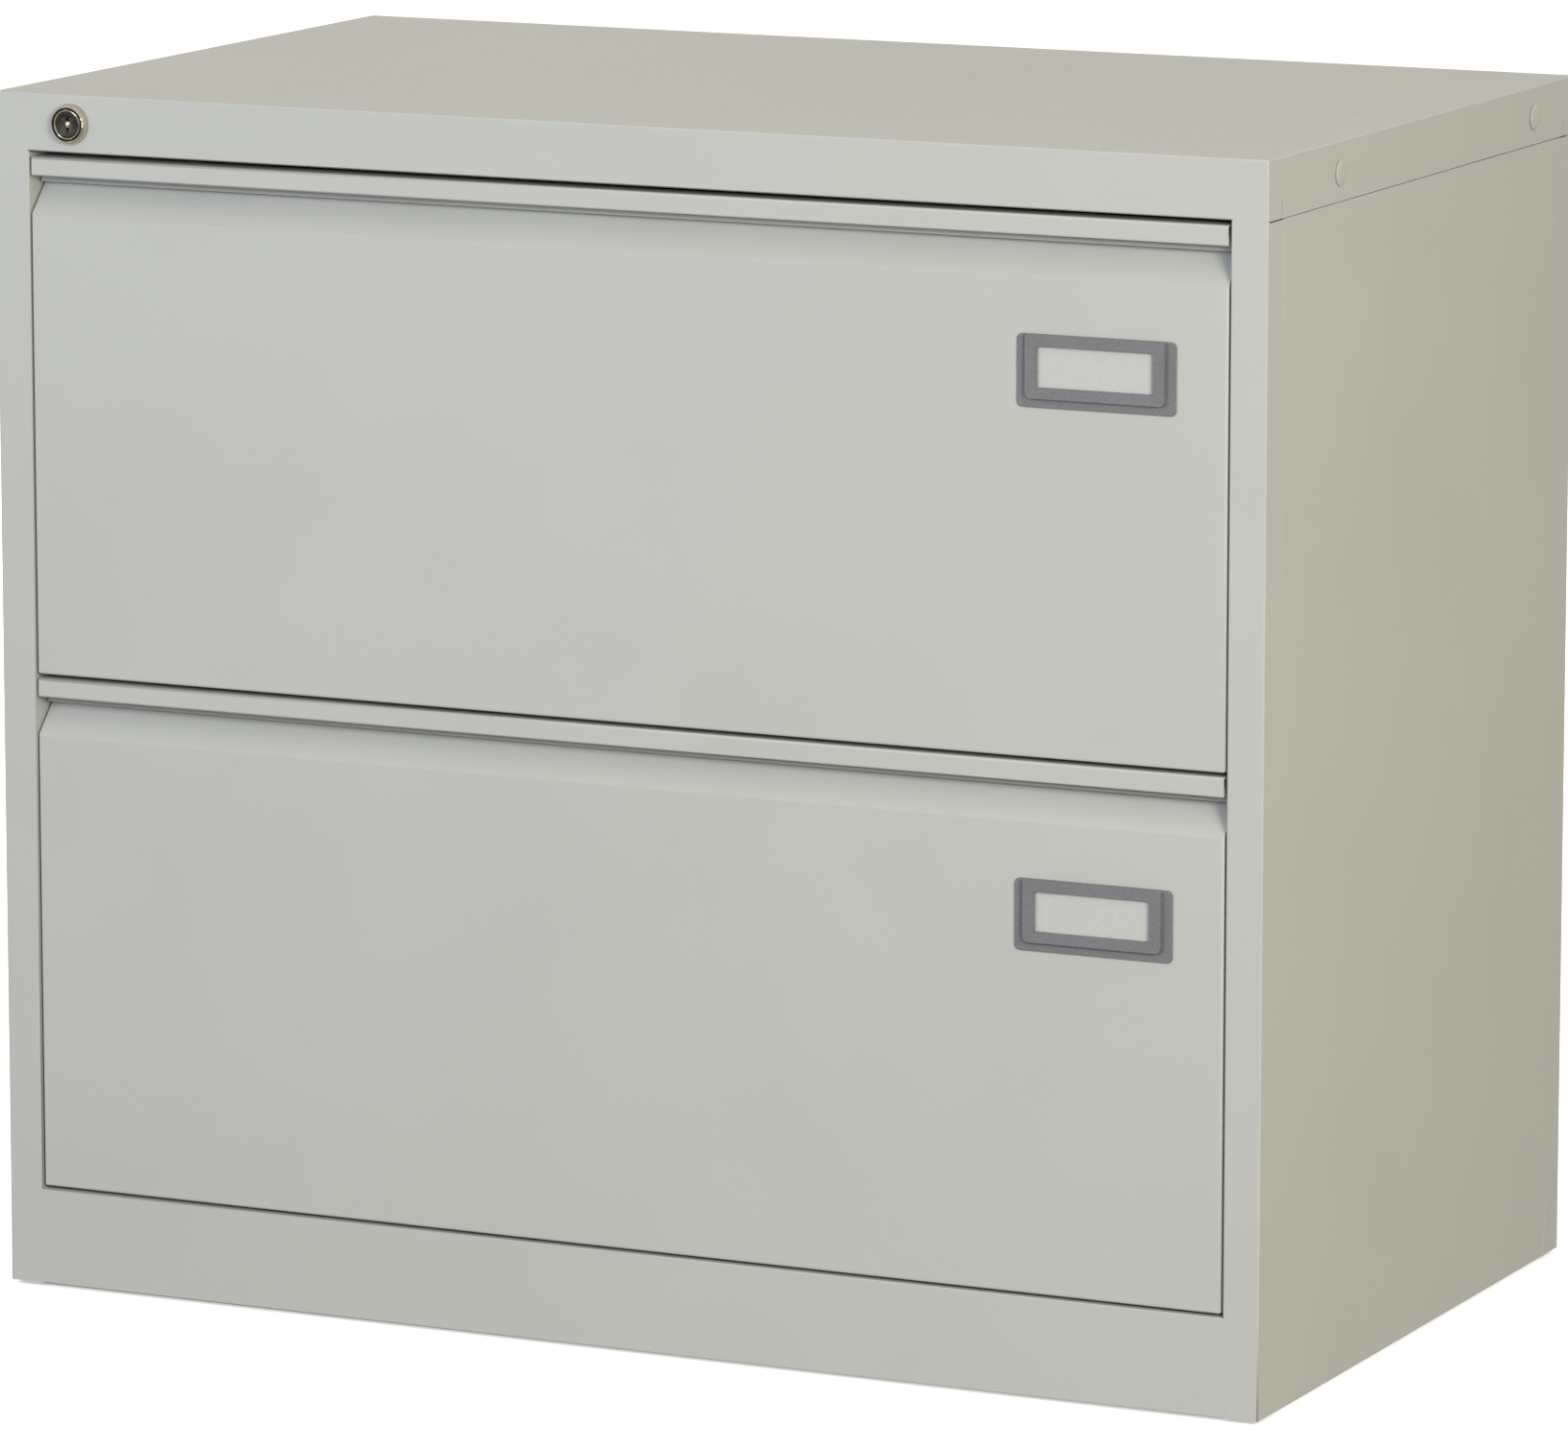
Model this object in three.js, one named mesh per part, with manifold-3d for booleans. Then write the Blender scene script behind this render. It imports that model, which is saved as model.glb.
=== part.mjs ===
// A two-drawer steel side filing cabinet: a folded sheet case, two drawers on three-part ball
// runners, a cam lock that lifts one locking bar for both drawers, and four levelling feet.
//
// Millimetres. +Z is up, the drawers open towards -Y, +X is to the right of someone facing them.
// The origin is on the floor, under the middle of the cabinet.

import * as THREE from "three";
import { mergeVertices } from "three/addons/utils/BufferGeometryUtils.js";
import Module from "manifold-3d";

const wasm = await Module();
wasm.setup();

// ---------------------------------------------------------------- driving dimensions

// Case
const caseWidth = 800;
const caseDepth = 470;
const overallHeight = 711;
const caseSheet = 1.0;
const footProtrusion = 2;
const topSkirtHeight = 34.1;
const stileWidth = 22;
const stileReturnDepth = 23;
const plinthTop = 60;
const railReturnDepth = 20;
const rearFoldWidth = 20;
const bottomFoldWidth = 14;
const seamGap = 0.8;
const weldGap = 0.1;
const looseGap = 0.4;

// Joggle that carries the side panel up inside the top panel's skirt
const joggleRise = 7.2;
const joggleDrop = 1.2;
const joggleEndSetback = 25;

// Slits and hole plugs in the top panel's side skirts
const slitWidth = 0.7;
const slitHeight = 10.2;
const frontSlitSetback = 19.5;
const rearSlitSetback = 17.6;
const frontPlugSetback = 104;
const rearPlugSetback = 65.5;
const plugDrop = 18.2;
const plugHeadRadius = 7.5;
const plugStemRadius = 5.7;
const plugProud = 1.3;
// Points of the dome's outline, as shares of its radius and of its height
const plugDome = [
  [0.93, 0.45],
  [0.7, 0.85],
  [0.35, 0.98],
];
const plugStemLength = 4;
const holeGap = 0.3;

// Frame inside the case
const uprightWidth = 34;
const uprightSheet = 1.5;
const uprightBarGap = 6;
const rearUprightSetback = 56;
const uprightHeadroom = 3;
const channelSheet = 2;
const channelWidth = 57;
const channelClearOfPad = 2.3;
const channelFrontSetback = 30;
const basePanZ = 40;
const basePanFoldDrop = 3;
const basePanSetback = 21;

// Levelling feet
const footInset = 34;
const footSetback = 60;
const padRadius = 19;
const padHeight = 8;
const padChamfer = 2;
const studRadius = 4;
const studGap = 0.5;
const footBossRadius = 8;
const footBossHeight = 8;

// Drawer fronts
const topGap = 3.1;
const middleGap = 2.5;
const bottomGap = 1.7;
const sideGap = 1.3;
const drawerSheet = 1.0;
const lipHeight = 11.4;
const recessDepth = 17.5;
const recessWallHeight = 15.8;
const recessHeight = 34.3;
const linerInset = 0.4;
const linerLead = 4;

// Drawer bodies
const trayFloorRise = 8;
const trayTopDrop = 57.8;
const trayTopFold = 10;
const rearSpace = 30;
const drawerBackFold = 11;
const fileRailSheet = 2;
const fileRailHeight = 15;
const fileRailFoot = 12;
const frontFileRailSetback = 4;
const rearFileRailSetback = 28;

// Runners, in three nested channels
const runnerSheet = 1.2;
const runnerHeight = 45.6;
const runnerThickness = 12.7;
const runnerSideSetback = 2;
const runnerBarGap = 2;
const runnerRise = 90;
const runnerWebGap = 0.7;
const runnerMountGap = 0.3;
const ballTrackGap = 4.2;
const innerChannelGap = 1.4;

// Label holders and their cards
const holderWidth = 96;
const holderHeight = 41.3;
const holderSideSetback = 30.3;
const holderTopSetback = 66.2;
const holderPlate = 1.5;
const holderProud = 3.8;
const holderCorner = 3.5;
const bezelSideInset = 6;
const bezelBottomInset = 5.3;
const windowWidth = 70;
const windowBottomInset = 11.7;
const windowTopInset = 6.6;
const cardPocketFront = 1.9;
const cardPocketBack = 0.9;
const cardOverlap = 1.8;
const cardThickness = 0.5;
const cardGap = 0.3;
const cardTopSetback = 3;

// Lock
const lockInset = 50;
const lockDrop = 17.1;
const lockProud = 4.4;
const bezelRadius = 12;
// Points of the bezel's rounded shoulder: how far inside its radius, and the share of its height
const bezelShoulder = [
  [1.1, 0.87],
  [0.35, 0.6],
  [0, 0.2],
];
const bezelFaceRadius = 9.85;
const barrelRadius = 9.3;
const barrelLength = 21;
const lockPlugRadius = 7.3;
const lockPlugGap = 0.3;
const lockPlugTail = 1.4;
const tailRadius = 3.5;
const tailLength = 4.6;
const keyholeWidth = 1.6;
const keyholeHeight = 7;
const keyholeDepth = 8;
const nutAcrossCorners = 27;
const nutThickness = 3.5;
const camSheet = 2.5;
const camGap = 0.8;
const camHubRadius = 7.4;
const camThrow = 8.5;
const pinRadius = 2;
const pinOverrun = 0.7;
const pinSlotGap = 0.6;

// Locking bar, its guides, and the drawer catches that it holds
const barSheet = 2.5;
const barWidth = 12;
const barReturnGap = 3;
const barStileGap = 0.5;
const headSheet = 2;
const headFrontGap = 2.3;
const headCamGap = 2.6;
const headHalfHeight = 8;
const headMargin = 2.5;
const fingerHeight = 12;
const fingerTrayGap = 3;
const catchFingerGap = 3;
const catchBarGap = 2;
const catchTopSetback = 25;
const catchHeight = 12;
const catchSheet = 2;
const catchBaseLength = 30;
const catchReach = 8.2;
const barTail = 18;
const guideHeight = 14;
const guideWall = 2;
const guideGap = 0.4;
const upperGuideDrop = 40;
const lowerGuideRise = 35;

// ---------------------------------------------------------------- derived levels and planes

const frontY = (lockProud - caseDepth) / 2;
const backY = frontY + caseDepth;
const halfWidth = caseWidth / 2;
const caseBottom = footProtrusion;
const seamZ = overallHeight - topSkirtHeight;
const stileInner = halfWidth - stileWidth;
const frontHalf = stileInner - sideGap;
const openingHeight = seamZ - plinthTop;
const frontHeight = (openingHeight - topGap - middleGap - bottomGap) / 2;
const lowerFrontZ = plinthTop + bottomGap;
const upperFrontZ = lowerFrontZ + frontHeight + middleGap;
const drawers = [
  { name: "upper", z: upperFrontZ },
  { name: "lower", z: lowerFrontZ },
];
const sides = [
  { name: "left", sign: -1 },
  { name: "right", sign: 1 },
];

const runnerOuter = stileInner - runnerSideSetback;
const runnerInner = runnerOuter - runnerThickness;
const trayHalf = runnerInner - runnerMountGap;
const trayTop = frontHeight - trayTopDrop;
const skinDepth = recessDepth + drawerSheet;
const linerFront = skinDepth + linerInset;
const linerBack = linerFront + drawerSheet;
const trayFront = linerBack + linerInset;
const trayRear = caseDepth - rearSpace;
const channelZ = padHeight + channelClearOfPad;
const channelTop = channelZ + channelSheet;
const footX = halfWidth - footInset;

const lockX = lockInset - halfWidth;
const lockZ = overallHeight - lockDrop;
const plugBack = barrelLength + lockPlugTail;
const camFront = plugBack + camGap;
const camBack = camFront + camSheet;
const restPinOffset = camThrow * Math.SQRT1_2;
const barOuter = stileInner - barStileGap;
const barInner = barOuter - barSheet;
// The bar stands behind the stile's return and its head behind the cam, whichever is deeper.
const behindCam = camBack + headCamGap - headFrontGap;
const barFrontSetback = Math.max(behindCam, stileReturnDepth + barReturnGap);
const barRearSetback = barFrontSetback + barWidth;
const headFront = barFrontSetback + headFrontGap;
const runnerFrontSetback = barRearSetback + runnerBarGap;
const frontUprightSetback = barRearSetback + uprightBarGap;
const catchTop = trayTop - catchTopSetback;
const fingerTop = catchTop - catchHeight - catchFingerGap;

// ---------------------------------------------------------------- finishes

function finish(color, roughness, metalness) {
  return new THREE.MeshStandardMaterial({ color, roughness, metalness });
}

const paint = () => finish(0xc3c4bf, 0.55, 0.1);
const zincPlate = () => finish(0xb4b7b8, 0.4, 0.9);
const chromePlate = () => finish(0xd2d2d0, 0.15, 1);
const darkSteel = () => finish(0x4b4a48, 0.35, 1);
const holderPlastic = () => finish(0x85868a, 0.6, 0);
const cardPaper = () => finish(0xe0e2dd, 0.9, 0);
const footPlastic = () => finish(0x26272a, 0.6, 0);
const guideNylon = () => finish(0xdfe0dc, 0.5, 0);

// ---------------------------------------------------------------- shape helpers

// Distances behind the front plane become Y here.
const atDepth = (depth) => frontY + depth;

const cabinet = new THREE.Group();

function addPiece(name, geometry, material) {
  const piece = new THREE.Mesh(geometry, material);
  piece.name = name;
  cabinet.add(piece);
  return piece;
}

// A box between two corners.
function block(x0, x1, y0, y1, z0, z1) {
  const box = new THREE.BoxGeometry(Math.abs(x1 - x0), y1 - y0, z1 - z0);
  return box.translate((x0 + x1) / 2, (y0 + y1) / 2, (z0 + z1) / 2);
}

// A path moved sideways to its left, with its corners mitred.
function movedPath(path, distance) {
  const points = path.map(([u, v]) => new THREE.Vector2(u, v));
  const normals = points.slice(1).map((point, i) => {
    const along = point.clone().sub(points[i]).normalize();
    return new THREE.Vector2(-along.y, along.x);
  });
  return points.map((point, i) => {
    const before = normals[Math.max(i - 1, 0)];
    const after = normals[Math.min(i, normals.length - 1)];
    const mitre = before.clone().add(after);
    const reach = (2 * distance) / mitre.lengthSq();
    return point.clone().addScaledVector(mitre, reach);
  });
}

// The outline of a sheet that runs along a path and is thick to the left of it.
function sheetOutline(path, thickness) {
  return new THREE.Shape([...movedPath(path, 0), ...movedPath(path, thickness).reverse()]);
}

function extrude(shape, length) {
  const depth = Math.abs(length);
  return new THREE.ExtrudeGeometry(shape, { depth, bevelEnabled: false, curveSegments: 6 });
}

const X = new THREE.Vector3(1, 0, 0);
const Y = new THREE.Vector3(0, 1, 0);
const Z = new THREE.Vector3(0, 0, 1);

// A section drawn in (y, z), run from x0 to x1.
function alongX(shape, x0, x1) {
  const turn = new THREE.Matrix4().makeBasis(Y, Z, X);
  return extrude(shape, x1 - x0).applyMatrix4(turn).translate(x0, 0, 0);
}

// A section drawn in (x, z), run from y0 to y1.
function alongY(shape, y0, y1) {
  const turn = new THREE.Matrix4().makeBasis(X, Z, Y.clone().negate());
  return extrude(shape, y1 - y0).applyMatrix4(turn).translate(0, y1, 0);
}

// A section drawn in (x, y), run from z0 to z1.
function alongZ(shape, z0, z1) {
  return extrude(shape, z1 - z0).translate(0, 0, z0);
}

// A profile of (radius, height) pairs turned about the Y axis, with its heights along Y.
const roundSegments = 32;
function turned(profile) {
  const points = profile.map(([radius, height]) => new THREE.Vector2(radius, height));
  return new THREE.LatheGeometry(points, roundSegments);
}

function roundRod(radius, y0, y1) {
  const rod = new THREE.CylinderGeometry(radius, radius, y1 - y0, roundSegments);
  return rod.translate(0, (y0 + y1) / 2, 0);
}

function roundedRect(x0, x1, z0, z1, lowerRadius, upperRadius) {
  const shape = new THREE.Shape();
  shape.moveTo(x0 + lowerRadius, z0);
  shape.lineTo(x1 - lowerRadius, z0);
  shape.absarc(x1 - lowerRadius, z0 + lowerRadius, lowerRadius, -Math.PI / 2, 0);
  shape.lineTo(x1, z1 - upperRadius);
  if (upperRadius > 0) {
    shape.absarc(x1 - upperRadius, z1 - upperRadius, upperRadius, 0, Math.PI / 2);
  }
  shape.lineTo(x0 + upperRadius, z1);
  if (upperRadius > 0) {
    shape.absarc(x0 + upperRadius, z1 - upperRadius, upperRadius, Math.PI / 2, Math.PI);
  }
  shape.lineTo(x0, z0 + lowerRadius);
  shape.absarc(x0 + lowerRadius, z0 + lowerRadius, lowerRadius, Math.PI, 1.5 * Math.PI);
  return shape;
}

// ---------------------------------------------------------------- joining and cutting

function toSolid(geometry) {
  const bare = geometry.index ? geometry.toNonIndexed() : geometry.clone();
  bare.deleteAttribute("normal");
  bare.deleteAttribute("uv");
  const merged = mergeVertices(bare, 1e-3);
  const vertProperties = merged.attributes.position.array;
  const triVerts = new Uint32Array(merged.index.array);
  return new wasm.Manifold(new wasm.Mesh({ numProp: 3, vertProperties, triVerts }));
}

function fromSolid(solid) {
  const mesh = solid.getMesh();
  const geometry = new THREE.BufferGeometry();
  const position = new THREE.BufferAttribute(new Float32Array(mesh.vertProperties), 3);
  geometry.setAttribute("position", position);
  geometry.setIndex(new THREE.BufferAttribute(new Uint32Array(mesh.triVerts), 1));
  geometry.computeVertexNormals();
  return geometry;
}

function joined(first, ...others) {
  const whole = others.reduce((sum, part) => sum.add(toSolid(part)), toSolid(first));
  return fromSolid(whole);
}

function cut(base, ...tools) {
  const rest = tools.reduce((sum, tool) => sum.subtract(toSolid(tool)), toSolid(base));
  return fromSolid(rest);
}

// ---------------------------------------------------------------- case

const plugSetbacks = [
  { name: "front", depth: frontPlugSetback },
  { name: "rear", depth: caseDepth - rearPlugSetback },
];
const plugZ = overallHeight - plugDrop;

function sideHole(sign, depth) {
  const rod = roundRod(plugStemRadius + holeGap, -2 * caseSheet, 2 * caseSheet);
  return rod.rotateZ(Math.PI / 2).translate(sign * halfWidth, atDepth(depth), plugZ);
}

function slit(sign, depth) {
  const x = sign * halfWidth;
  const y = atDepth(depth);
  const reach = 2 * caseSheet;
  const half = slitWidth / 2;
  return block(x - reach, x + reach, y - half, y + half, seamZ - 1, seamZ + slitHeight);
}

function topPanel() {
  const outer = block(-halfWidth, halfWidth, frontY, backY, seamZ, overallHeight);
  const innerHalf = halfWidth - caseSheet;
  const hollow = block(
    -innerHalf,
    innerHalf,
    frontY + caseSheet,
    backY - caseSheet,
    seamZ - 1,
    overallHeight - caseSheet,
  );
  const shell = cut(outer, hollow);
  const flangeHalf = stileInner + stileWidth / 2;
  const flangeBack = atDepth(railReturnDepth);
  const flange = block(-flangeHalf, flangeHalf, frontY, flangeBack, seamZ, seamZ + caseSheet);
  const lockHole = roundRod(barrelRadius + holeGap, -2 * caseSheet, 2 * caseSheet);
  lockHole.translate(lockX, frontY, lockZ);
  const openings = [lockHole];
  for (const { sign } of sides) {
    openings.push(slit(sign, frontSlitSetback));
    openings.push(slit(sign, caseDepth - rearSlitSetback));
    for (const { depth } of plugSetbacks) openings.push(sideHole(sign, depth));
  }
  return cut(joined(shell, flange), ...openings);
}

function sidePanel(sign) {
  const outer = sign * halfWidth;
  const stile = sign * stileInner;
  const section = [
    [stile, atDepth(stileReturnDepth)],
    [stile, frontY],
    [outer, frontY],
    [outer, backY],
    [outer - sign * rearFoldWidth, backY],
  ];
  const panelTop = seamZ - seamGap;
  const wrap = alongZ(sheetOutline(section, sign * caseSheet), caseBottom, panelTop);
  const stileHead = alongZ(sheetOutline(section.slice(0, 3), sign * caseSheet), panelTop, seamZ);
  const foldInner = sign * (halfWidth - bottomFoldWidth);
  const y0 = atDepth(joggleEndSetback);
  const y1 = backY - joggleEndSetback;
  const bottomFold = block(foldInner, outer, y0, y1, caseBottom, caseBottom + caseSheet);
  const joggleFace = sign * (halfWidth - caseSheet - weldGap);
  const joggleBack = joggleFace - sign * caseSheet;
  const step = block(joggleBack, outer, y0, y1, panelTop - joggleDrop, panelTop);
  const tongue = block(joggleBack, joggleFace, y0, y1, panelTop - joggleDrop, seamZ + joggleRise);
  return joined(wrap, stileHead, bottomFold, step, tongue);
}

function backPanel() {
  const half = halfWidth - caseSheet - looseGap;
  const outerFace = backY - caseSheet - weldGap;
  const top = overallHeight - caseSheet - looseGap;
  return block(-half, half, outerFace - caseSheet, outerFace, caseBottom + caseSheet, top);
}

function plinthRail() {
  const section = [
    [atDepth(railReturnDepth), caseBottom],
    [frontY, caseBottom],
    [frontY, plinthTop],
    [atDepth(railReturnDepth), plinthTop],
  ];
  return alongX(sheetOutline(section, -caseSheet), -stileInner, stileInner);
}

function basePan() {
  const half = runnerOuter - runnerSideSetback - 2 * caseSheet;
  const front = atDepth(basePanSetback);
  const back = backY - 2 * caseSheet - weldGap - looseGap;
  const foldTop = plinthTop - basePanFoldDrop;
  const section = [
    [front, foldTop],
    [front, basePanZ],
    [back, basePanZ],
    [back, foldTop],
  ];
  return alongX(sheetOutline(section, caseSheet), -half, half);
}

function upright(sign, y0) {
  const web = sign * (runnerOuter + runnerMountGap);
  const outer = sign * (halfWidth - caseSheet - weldGap);
  const y1 = y0 + uprightWidth;
  const section = [
    [outer, y0],
    [web, y0],
    [web, y1],
    [outer, y1],
  ];
  const outline = sheetOutline(section, -sign * uprightSheet);
  const top = seamZ - seamGap - joggleDrop - uprightHeadroom;
  return alongZ(outline, channelTop + weldGap, top);
}

const footPlaces = [
  { name: "front", y: atDepth(footSetback) },
  { name: "rear", y: backY - footSetback },
];

function footRod(radius, x, y, z0, z1) {
  const rod = new THREE.CylinderGeometry(radius, radius, z1 - z0, roundSegments);
  return rod.rotateX(Math.PI / 2).translate(x, y, (z0 + z1) / 2);
}

function footChannel(sign) {
  const outer = sign * (halfWidth - caseSheet - weldGap);
  const inner = outer - sign * channelWidth;
  const upstandTop = basePanZ - weldGap;
  const section = [
    [inner, upstandTop],
    [inner, channelZ],
    [outer, channelZ],
  ];
  const y0 = atDepth(channelFrontSetback);
  const y1 = backY - channelFrontSetback;
  const channel = alongY(sheetOutline(section, sign * channelSheet), y0, y1);
  const x = sign * footX;
  const bossTop = channelTop + footBossHeight;
  const bosses = footPlaces.map(({ y }) => footRod(footBossRadius, x, y, channelZ, bossTop));
  const boreRadius = studRadius + studGap;
  const bores = footPlaces.map(({ y }) => footRod(boreRadius, x, y, channelZ - 1, bossTop + 1));
  return cut(joined(channel, ...bosses), ...bores);
}

// A dome that covers a spare hole in the side skirt, with a stem through the hole.
function holePlug(sign, depth) {
  const height = -plugStemLength;
  const plug = turned([
    [0, height],
    [plugStemRadius, height],
    [plugStemRadius, 0],
    [plugHeadRadius, 0],
    ...plugDome.map(([across, up]) => [plugHeadRadius * across, plugProud * up]),
    [0, plugProud],
  ]);
  return plug.rotateZ((-sign * Math.PI) / 2).translate(sign * halfWidth, atDepth(depth), plugZ);
}

addPiece("top_panel", topPanel(), paint());
addPiece("back_panel", backPanel(), paint());
addPiece("plinth_rail", plinthRail(), paint());
addPiece("base_pan", basePan(), paint());
for (const { name, sign } of sides) {
  addPiece(`${name}_side_panel`, sidePanel(sign), paint());
  addPiece(`${name}_foot_channel`, footChannel(sign), paint());
  addPiece(`${name}_front_upright`, upright(sign, atDepth(frontUprightSetback)), paint());
  const rearY = backY - rearUprightSetback - uprightWidth;
  addPiece(`${name}_rear_upright`, upright(sign, rearY), paint());
  for (const place of plugSetbacks) {
    addPiece(`${name}_${place.name}_hole_plug`, holePlug(sign, place.depth), paint());
  }
}

// ---------------------------------------------------------------- levelling feet

function levellingFoot(sign, y) {
  const foot = turned([
    [0, 0],
    [padRadius - padChamfer / 2, 0],
    [padRadius, padChamfer / 2],
    [padRadius, padHeight - padChamfer],
    [padRadius - padChamfer, padHeight],
    [studRadius, padHeight],
    [studRadius, basePanZ - padChamfer],
    [0, basePanZ - padChamfer],
  ]);
  return foot.rotateX(Math.PI / 2).translate(sign * footX, y, 0);
}

for (const { name, sign } of sides) {
  for (const place of footPlaces) {
    const foot = levellingFoot(sign, place.y);
    addPiece(`${name}_${place.name}_levelling_foot`, foot, footPlastic());
  }
}

// ---------------------------------------------------------------- drawers

function frontSkin(z0) {
  const top = z0 + frontHeight;
  const crease = top - recessHeight;
  const slopeTop = top - recessWallHeight;
  const section = [
    [atDepth(skinDepth), z0],
    [frontY, z0],
    [frontY, crease],
    [atDepth(recessDepth), slopeTop],
    [atDepth(recessDepth), top - drawerSheet],
    [atDepth(drawerSheet), top - drawerSheet],
    [atDepth(drawerSheet), top - lipHeight],
  ];
  const skin = alongX(sheetOutline(section, -drawerSheet), -frontHalf, frontHalf);
  const end = new THREE.Shape(movedPath(section, -drawerSheet / 2).slice(0, 4));
  const leftEnd = alongX(end, -frontHalf, drawerSheet - frontHalf);
  const rightEnd = alongX(end, frontHalf - drawerSheet, frontHalf);
  return joined(skin, leftEnd, rightEnd);
}

// The inner skin that closes the back of the drawer front.
function frontLiner(z0) {
  const half = frontHalf - drawerSheet - linerInset;
  const bottom = z0 + drawerSheet + linerInset;
  const top = z0 + frontHeight - drawerSheet - 2 * linerInset;
  const foldTop = z0 + frontHeight - recessHeight - linerLead;
  const lead = atDepth(linerLead);
  const back = atDepth(linerBack);
  const plate = block(-half, half, atDepth(linerFront), back, bottom, top);
  const leftFold = block(-half, drawerSheet - half, lead, back, bottom, foldTop);
  const rightFold = block(half - drawerSheet, half, lead, back, bottom, foldTop);
  const bottomFold = block(-half, half, lead, back, bottom, bottom + drawerSheet);
  return joined(plate, leftFold, rightFold, bottomFold);
}

function tray(z0) {
  const floor = z0 + trayFloorRise;
  const top = z0 + trayTop;
  const foldInner = trayHalf - trayTopFold;
  const section = [
    [-foldInner, top],
    [-trayHalf, top],
    [-trayHalf, floor],
    [trayHalf, floor],
    [trayHalf, top],
    [foldInner, top],
  ];
  return alongY(sheetOutline(section, drawerSheet), atDepth(trayFront), atDepth(trayRear));
}

function drawerBack(z0) {
  const half = trayHalf - drawerSheet - looseGap;
  const rear = atDepth(trayRear - looseGap);
  const bottom = z0 + trayFloorRise + drawerSheet + looseGap;
  const top = z0 + trayTop - drawerSheet - looseGap;
  const section = [
    [rear, bottom],
    [rear, top],
    [rear - drawerBackFold, top],
  ];
  return alongX(sheetOutline(section, drawerSheet), -half, half);
}

// A strip standing on the tray's folded edges, which hanging files hook over.
function fileRail(z0, depth) {
  const half = trayHalf - drawerSheet - looseGap;
  const bottom = z0 + trayTop + weldGap;
  const y = atDepth(depth);
  const section = [
    [y + fileRailFoot, bottom],
    [y, bottom],
    [y, bottom + fileRailHeight],
  ];
  return alongX(sheetOutline(section, -fileRailSheet), -half, half);
}

function holderBounds(z0) {
  const x1 = frontHalf - holderSideSetback;
  const z1 = z0 + frontHeight - holderTopSetback;
  return { x0: x1 - holderWidth, x1, z0: z1 - holderHeight, z1 };
}

function windowBounds(holder) {
  const centre = (holder.x0 + holder.x1) / 2;
  const half = windowWidth / 2;
  const bottom = holder.z0 + windowBottomInset;
  return { x0: centre - half, x1: centre + half, z0: bottom, z1: holder.z1 - windowTopInset };
}

function labelHolder(z0) {
  const holder = holderBounds(z0);
  const view = windowBounds(holder);
  const plateShape = roundedRect(
    holder.x0,
    holder.x1,
    holder.z0,
    holder.z1,
    holderCorner,
    holderCorner,
  );
  const bezelShape = roundedRect(
    holder.x0 + bezelSideInset,
    holder.x1 - bezelSideInset,
    holder.z0 + bezelBottomInset,
    holder.z1,
    holderCorner,
    0,
  );
  const plate = alongY(plateShape, frontY - holderPlate, frontY);
  const bezel = alongY(bezelShape, frontY - holderProud, frontY - cardPocketBack);
  const open = holderProud + 1;
  const pocket = block(
    view.x0 - cardOverlap,
    view.x1 + cardOverlap,
    frontY - cardPocketFront,
    frontY - cardPocketBack,
    view.z0 - cardOverlap,
    holder.z1 + 1,
  );
  const front = frontY - cardPocketBack;
  const opening = block(view.x0, view.x1, frontY - open, front, view.z0, view.z1);
  return cut(joined(plate, bezel), pocket, opening);
}

function labelCard(z0) {
  const holder = holderBounds(z0);
  const view = windowBounds(holder);
  const overlap = cardOverlap - cardGap;
  const middle = frontY - (cardPocketFront + cardPocketBack) / 2;
  const y0 = middle - cardThickness / 2;
  const y1 = middle + cardThickness / 2;
  const top = holder.z1 - cardTopSetback;
  return block(view.x0 - overlap, view.x1 + overlap, y0, y1, view.z0 - overlap, top);
}

// The bracket on the drawer's left side that the raised finger of the locking bar stops.
function catchBracket(z0) {
  const base = -(trayHalf + runnerMountGap);
  const y0 = atDepth(barRearSetback + catchBarGap);
  const top = z0 + catchTop;
  const bottom = top - catchHeight;
  const tip = base - catchReach;
  const leg = block(tip, base, y0, y0 + catchSheet, bottom, top);
  const plate = block(base - catchSheet, base, y0, y0 + catchBaseLength, bottom, top);
  return joined(leg, plate);
}

// ---------------------------------------------------------------- runners

function runnerSection(web, tip, half, z) {
  const section = [
    [tip, z + half],
    [web, z + half],
    [web, z - half],
    [tip, z - half],
  ];
  const thickness = Math.sign(web - tip) * -runnerSheet;
  const outline = sheetOutline(section, thickness);
  return alongY(outline, atDepth(runnerFrontSetback), atDepth(trayRear));
}

const outerHalf = runnerHeight / 2;
const middleHalf = outerHalf - runnerSheet - ballTrackGap;
const innerHalf = middleHalf - runnerSheet - ballTrackGap;
const flangeTip = runnerInner + runnerSheet;
const middleWeb = runnerOuter - runnerSheet - runnerWebGap;
const innerTip = middleWeb - runnerSheet - innerChannelGap;

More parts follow.
